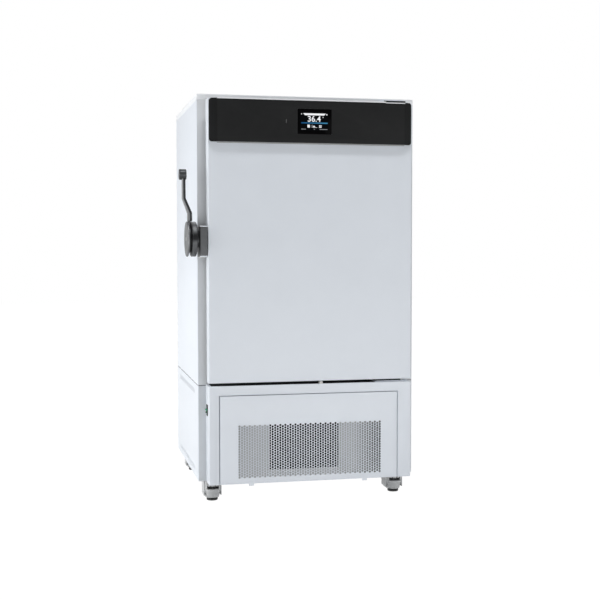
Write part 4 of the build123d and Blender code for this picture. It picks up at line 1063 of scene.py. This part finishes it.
graphite = graphite_finish("graphite", (0.04, 0.043, 0.047), (0.068, 0.072, 0.077), 0.3)
graphite_face = graphite_finish("graphite_face", (0.17, 0.175, 0.18), (0.23, 0.235, 0.24), 0.34)
graphite_cast = graphite_finish("graphite_cast", (0.085, 0.089, 0.093), (0.125, 0.13, 0.135), 0.36)
stand_in("handle_bracket", "latch_bracket", 0.001, graphite_cast, "door", "graphite")
bracket_low, bracket_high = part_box("handle_bracket")
trim_proud = 0.0008
trim_inset = 0.0005
trim_depth = 0.006
lower_trim_rise = 0.0042
upper_trim_sink = 0.001
upper_trim_rise = 0.0032
trims = []
for trim_low, trim_high in (
    (bracket_low.z - trim_proud, bracket_low.z + lower_trim_rise),
    (bracket_high.z - upper_trim_sink, bracket_high.z + upper_trim_rise),
):
    trim = softened(new_box(
        "trim",
        (bracket_low.x + trim_inset, bracket_low.y - trim_proud, trim_low),
        (bracket_high.x, bracket_low.y + trim_depth, trim_high),
    ), 0.0006)
    trims.append(carve(trim, new_box("bracket_room", bracket_low, bracket_high)))
settle(join("bracket_trims", *trims), powder_white, "door", "white_coat")
drum_low, drum_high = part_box("latch_drum")
# The drum's colour is painted by height: a dark band across its waist is painted shade, and a light crown at
# its top is painted highlight, where its rounded top catches the overhead light.
waist_lift = 0.007
band_half = 0.006
band_fade = 0.024
highlight_start = drum_high.z - 0.016
highlight_end = drum_high.z - 0.002
drum_waist = (drum_low.z + drum_high.z) / 2 + waist_lift
drum_steel, drum_shader, drum_where = new_finish("drum_steel")
drum_rise = drum_where.made("ShaderNodeSeparateXYZ", out=2, Vector=drum_where)
from_waist = drum_where.made("ShaderNodeMath", {"operation": "ABSOLUTE"}, i0=drum_rise - drum_waist)
off_waist = ramp(from_waist, band_half, band_fade)
in_painted_highlight = ramp(drum_rise, highlight_start, highlight_end)
drum_painted_shade = tone(drum_where, 70.0, (0.012, 0.013, 0.014), (0.02, 0.021, 0.022), 5.0)
drum_body = tone(drum_where, 70.0, (0.085, 0.089, 0.093), (0.125, 0.13, 0.135), 5.0)
drum_painted_highlight = tone(drum_where, 70.0, (0.36, 0.365, 0.37), (0.44, 0.445, 0.45), 5.0)
drum_with_painted_shade = blend(off_waist, drum_painted_shade, drum_body)
feed(blend(in_painted_highlight, drum_with_painted_shade, drum_painted_highlight), drum_shader, "Base Color")
cast_sheen(drum_where, drum_shader, 0.36, 0.75)
rim_left = drum_high.x - 0.0093
rim_right = drum_high.x - 0.0049
rim_step = -0.005
drum = eased_copy("latch_drum", "latch_base_drum", 0.001)
pick(drum, "VERT", lambda place: rim_left < place.x < rim_right)
bpy.ops.transform.translate(value=(rim_step, 0, 0))
bpy.ops.object.mode_set(mode="OBJECT")
settle(drum, drum_steel, "door", "graphite", "latch_drum")
arm = eased_copy("latch_lever", "latch_arm", 0.002, 3)
arm_foot = drum_high.z + 0.001
arm_front = -0.3723
arm_growth = 0.0014
cut_half = 0.0005
for cut in (arm_foot - cut_half, arm_foot + cut_half):
    pick(arm, "FACE", lambda middle, normal: True)
    bpy.ops.mesh.bisect(plane_co=(0, 0, cut), plane_no=(0, 0, 1))
pick(arm, "VERT", lambda place: place.z > arm_foot)
bpy.ops.transform.shrink_fatten(value=arm_growth)
for bend_low, bend_high, bend_middle, right_step, left_step in (
    (arm_foot, 1.126, -0.4300, 0.005, 0.0045),
    (1.166, 1.179, -0.4492, 0.001, 0.001),
):
    pick(arm, "VERT", lambda place: bend_low < place.z < bend_high and place.x > bend_middle)
    bpy.ops.transform.translate(value=(right_step, 0, 0))
    pick(arm, "VERT", lambda place: (
        bend_low < place.z < bend_high and place.x < bend_middle and place.y < arm_front
    ))
    bpy.ops.transform.translate(value=(left_step, 0, 0))
bpy.ops.object.mode_set(mode="OBJECT")
# Painted light and shade on the lever: faces turned partly to the right are painted near black as painted
# shade, and the others a light grey as painted light.
foot_end = arm_foot - 0.014
bend_start = 1.114
full_right = 0.9
lit_faces = arm.data.attributes.new("lit_faces", "FLOAT", "FACE")
for face in arm.data.polygons:
    to_right = face.normal.x
    if face.center.z < foot_end:
        flat = abs(to_right) > 0.35
    elif face.center.z < bend_start:
        flat = to_right < 0.3 or to_right > full_right
    else:
        flat = to_right < -0.01 or to_right > full_right
    lit_faces.data[face.index].value = 1.0 if flat else 0.0
arm_steel, arm_shader, arm_where = new_finish("arm_steel")
on_lit_faces = arm_where.made("ShaderNodeAttribute", {"attribute_name": "lit_faces"}, out=2)
arm_painted_shade = tone(arm_where, 70.0, (0.014, 0.015, 0.017), (0.024, 0.026, 0.029), 5.0)
arm_painted_light = tone(arm_where, 70.0, (0.18, 0.185, 0.19), (0.24, 0.245, 0.25), 5.0)
feed(blend(on_lit_faces, arm_painted_shade, arm_painted_light), arm_shader, "Base Color")
cast_sheen(arm_where, arm_shader, 0.36, 0.5)
settle(arm, arm_steel, "latch", "graphite", "latch_lever")
stand_in("latch_disc", "latch_cap_disc", 0.001, graphite_face, "latch", "graphite")
stand_in("latch_knob", "latch_grip", 0.0008, graphite, "latch", "graphite")
dress(stainless, "latch_shaft")


# Refrigeration in the base: condenser with its fan, two black compressors of the cascade, a lagged heat
# exchanger and the electrical box.
fin_black, fin_shader, fin_where = new_finish("fin_black")
feed(tone(fin_where, 40.0, (0.003, 0.003, 0.003), (0.008, 0.008, 0.008)), fin_shader, "Base Color")
fin_shader.inputs["Roughness"].default_value = 0.9
fin_shader.inputs["Specular IOR Level"].default_value = 0.02
grain(fin_where, fin_shader, 300.0, 0.2, 0.0004)
core_low, core_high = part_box("condenser")
bend_room = 0.014
fin_pitch = 0.003
fin_sheet = 0.0004
fin_start = core_low.x + bend_room
fin_count = int((core_high.x - core_low.x - 2 * bend_room) / fin_pitch)
fin_inset = 0.004
plate_sheet = 0.0016
fins = new_box(
    "fins",
    (fin_start, core_low.y, core_low.z + fin_inset),
    (fin_start + fin_sheet, core_high.y, core_high.z - fin_inset),
)
repeat(fins, fin_count, (fin_pitch, 0, 0))
coil = [fins]
for plate_x in (core_low.x + bend_room - plate_sheet, core_high.x - bend_room):
    plate_start = (plate_x, core_low.y, core_low.z)
    plate_end = (plate_x + plate_sheet, core_high.y, core_high.z)
    coil.append(softened(new_box("plate", plate_start, plate_end), 0.0004))
settle(join("condenser_fins", *coil), fin_black, "cabinet", "fins", "condenser")
tube_radius = 0.0045
tube_rows = 8
tube_inset = 0.018
tube_over = 0.004
tube_rise = (core_high.z - core_low.z) / tube_rows
straights = []
for row in range(tube_rows):
    tube_z = core_low.z + (row + 0.5) * tube_rise
    for tube_y in (core_low.y + tube_inset, core_high.y - tube_inset):
        deselect()
        bpy.ops.mesh.primitive_cylinder_add(
            vertices=16,
            radius=tube_radius,
            depth=core_high.x - core_low.x - 2 * bend_room + tube_over,
            location=((core_low.x + core_high.x) / 2, tube_y, tube_z),
            rotation=(0, quarter_turn, 0),
        )
        straights.append(bpy.context.object)
tubes = join("condenser_tubes", *straights)
bpy.ops.object.transform_apply(location=True, rotation=True, scale=True)
smooth(tubes)
settle(tubes, fin_black, "cabinet", "fins")
dress(black_plastic, "fan_blades")
enamel = plain_finish(
    "compressor_enamel",
    tint=(18.0, (0.012, 0.012, 0.013), (0.026, 0.026, 0.028)),
    sheen=(50.0, 4.0, 0.22, 0.2),
    grit=(160.0, 0.12, 0.0006),
)
dress(enamel, "compressor_high_stage", "compressor_low_stage", "fan_motor")
lagging, lagging_shader, lagging_where = new_finish("lagging")
feed(tone(lagging_where, 90.0, (0.016, 0.016, 0.016), (0.034, 0.034, 0.034)), lagging_shader, "Base Color")
lagging_shader.inputs["Roughness"].default_value = 0.9
grain(lagging_where, lagging_shader, 420.0, 0.4, 0.0008)
dress(lagging, "heat_exchanger")


# Levelling casters, one at each corner: a cast grey body turns under a bolted plate, with a nylon wheel
# behind and a black foot on a screw in front.
cast_grey = plain_finish(
    "cast_grey",
    tint=(60.0, (0.50, 0.51, 0.515), (0.60, 0.61, 0.615), 4.0),
    sheen=(150.0, 3.0, 0.36, 0.2),
    grit=(700.0, 0.15, 0.0003),
)
foot_black, foot_shader, foot_where = new_finish("foot_black")
feed(tone(foot_where, 120.0, (0.014, 0.014, 0.014), (0.03, 0.03, 0.03)), foot_shader, "Base Color")
foot_shader.inputs["Roughness"].default_value = 0.6
grain(foot_where, foot_shader, 900.0, 0.2, 0.0003)
cheek_half = 0.0352
cheek_sheet = 0.0042
cheek_front = 0.016
cheek_back = 0.046
cheek_foot = 0.0195
cheek_gap = 0.002
lobe_radius = 0.0075
lobe_depth = 0.0105
lobe_rise = 0.0625
lobe_reach = 0.027
lobe_flatness = 0.6
lobe_turn = math.radians(36)
for corner in ("front_left", "front_right", "rear_left", "rear_right"):
    foot_low, foot_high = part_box(f"caster_{corner}_foot")
    body_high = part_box(f"caster_{corner}_body")[1]
    pivot_x = (foot_low.x + foot_high.x) / 2
    pivot_y = (foot_low.y + foot_high.y) / 2
    caster = f"caster_{corner}"
    fork = []
    for cheek_x in (pivot_x - cheek_half, pivot_x + cheek_half - cheek_sheet):
        fork.append(softened(new_box(
            "cheek",
            (cheek_x, pivot_y - cheek_front, cheek_foot),
            (cheek_x + cheek_sheet, pivot_y + cheek_back, body_high.z - cheek_gap),
        ), 0.0018, 3))
    for turn in (-lobe_turn, 0.0, lobe_turn):
        deselect()
        bpy.ops.mesh.primitive_cylinder_add(
            vertices=20, radius=lobe_radius, depth=lobe_depth, location=(0, 0, lobe_rise)
        )
        lobe = bpy.context.object
        lobe.scale = (1, lobe_flatness, 1)
        bpy.ops.object.transform_apply(location=True, rotation=True, scale=True)
        placed(lobe, (0, -lobe_reach, 0))
        placed(softened(lobe, 0.0012, 3), (pivot_x, pivot_y, 0), (0, 0, turn))
        fork.append(lobe)
    settle(join(f"{caster}_fork", *fork), cast_grey, f"{corner}_swivel", "caster_grey")
    stand_in(f"{caster}_body", f"{caster}_housing", 0.0015, cast_grey, f"{corner}_swivel", "caster_grey")
    stand_in(f"{caster}_wheel", f"{caster}_roller", 0.0008, nylon, f"{corner}_wheel", "nylon")
    stand_in(f"{caster}_foot", f"{caster}_pad", 0.0008, foot_black, f"{corner}_foot", "foot_rubber")
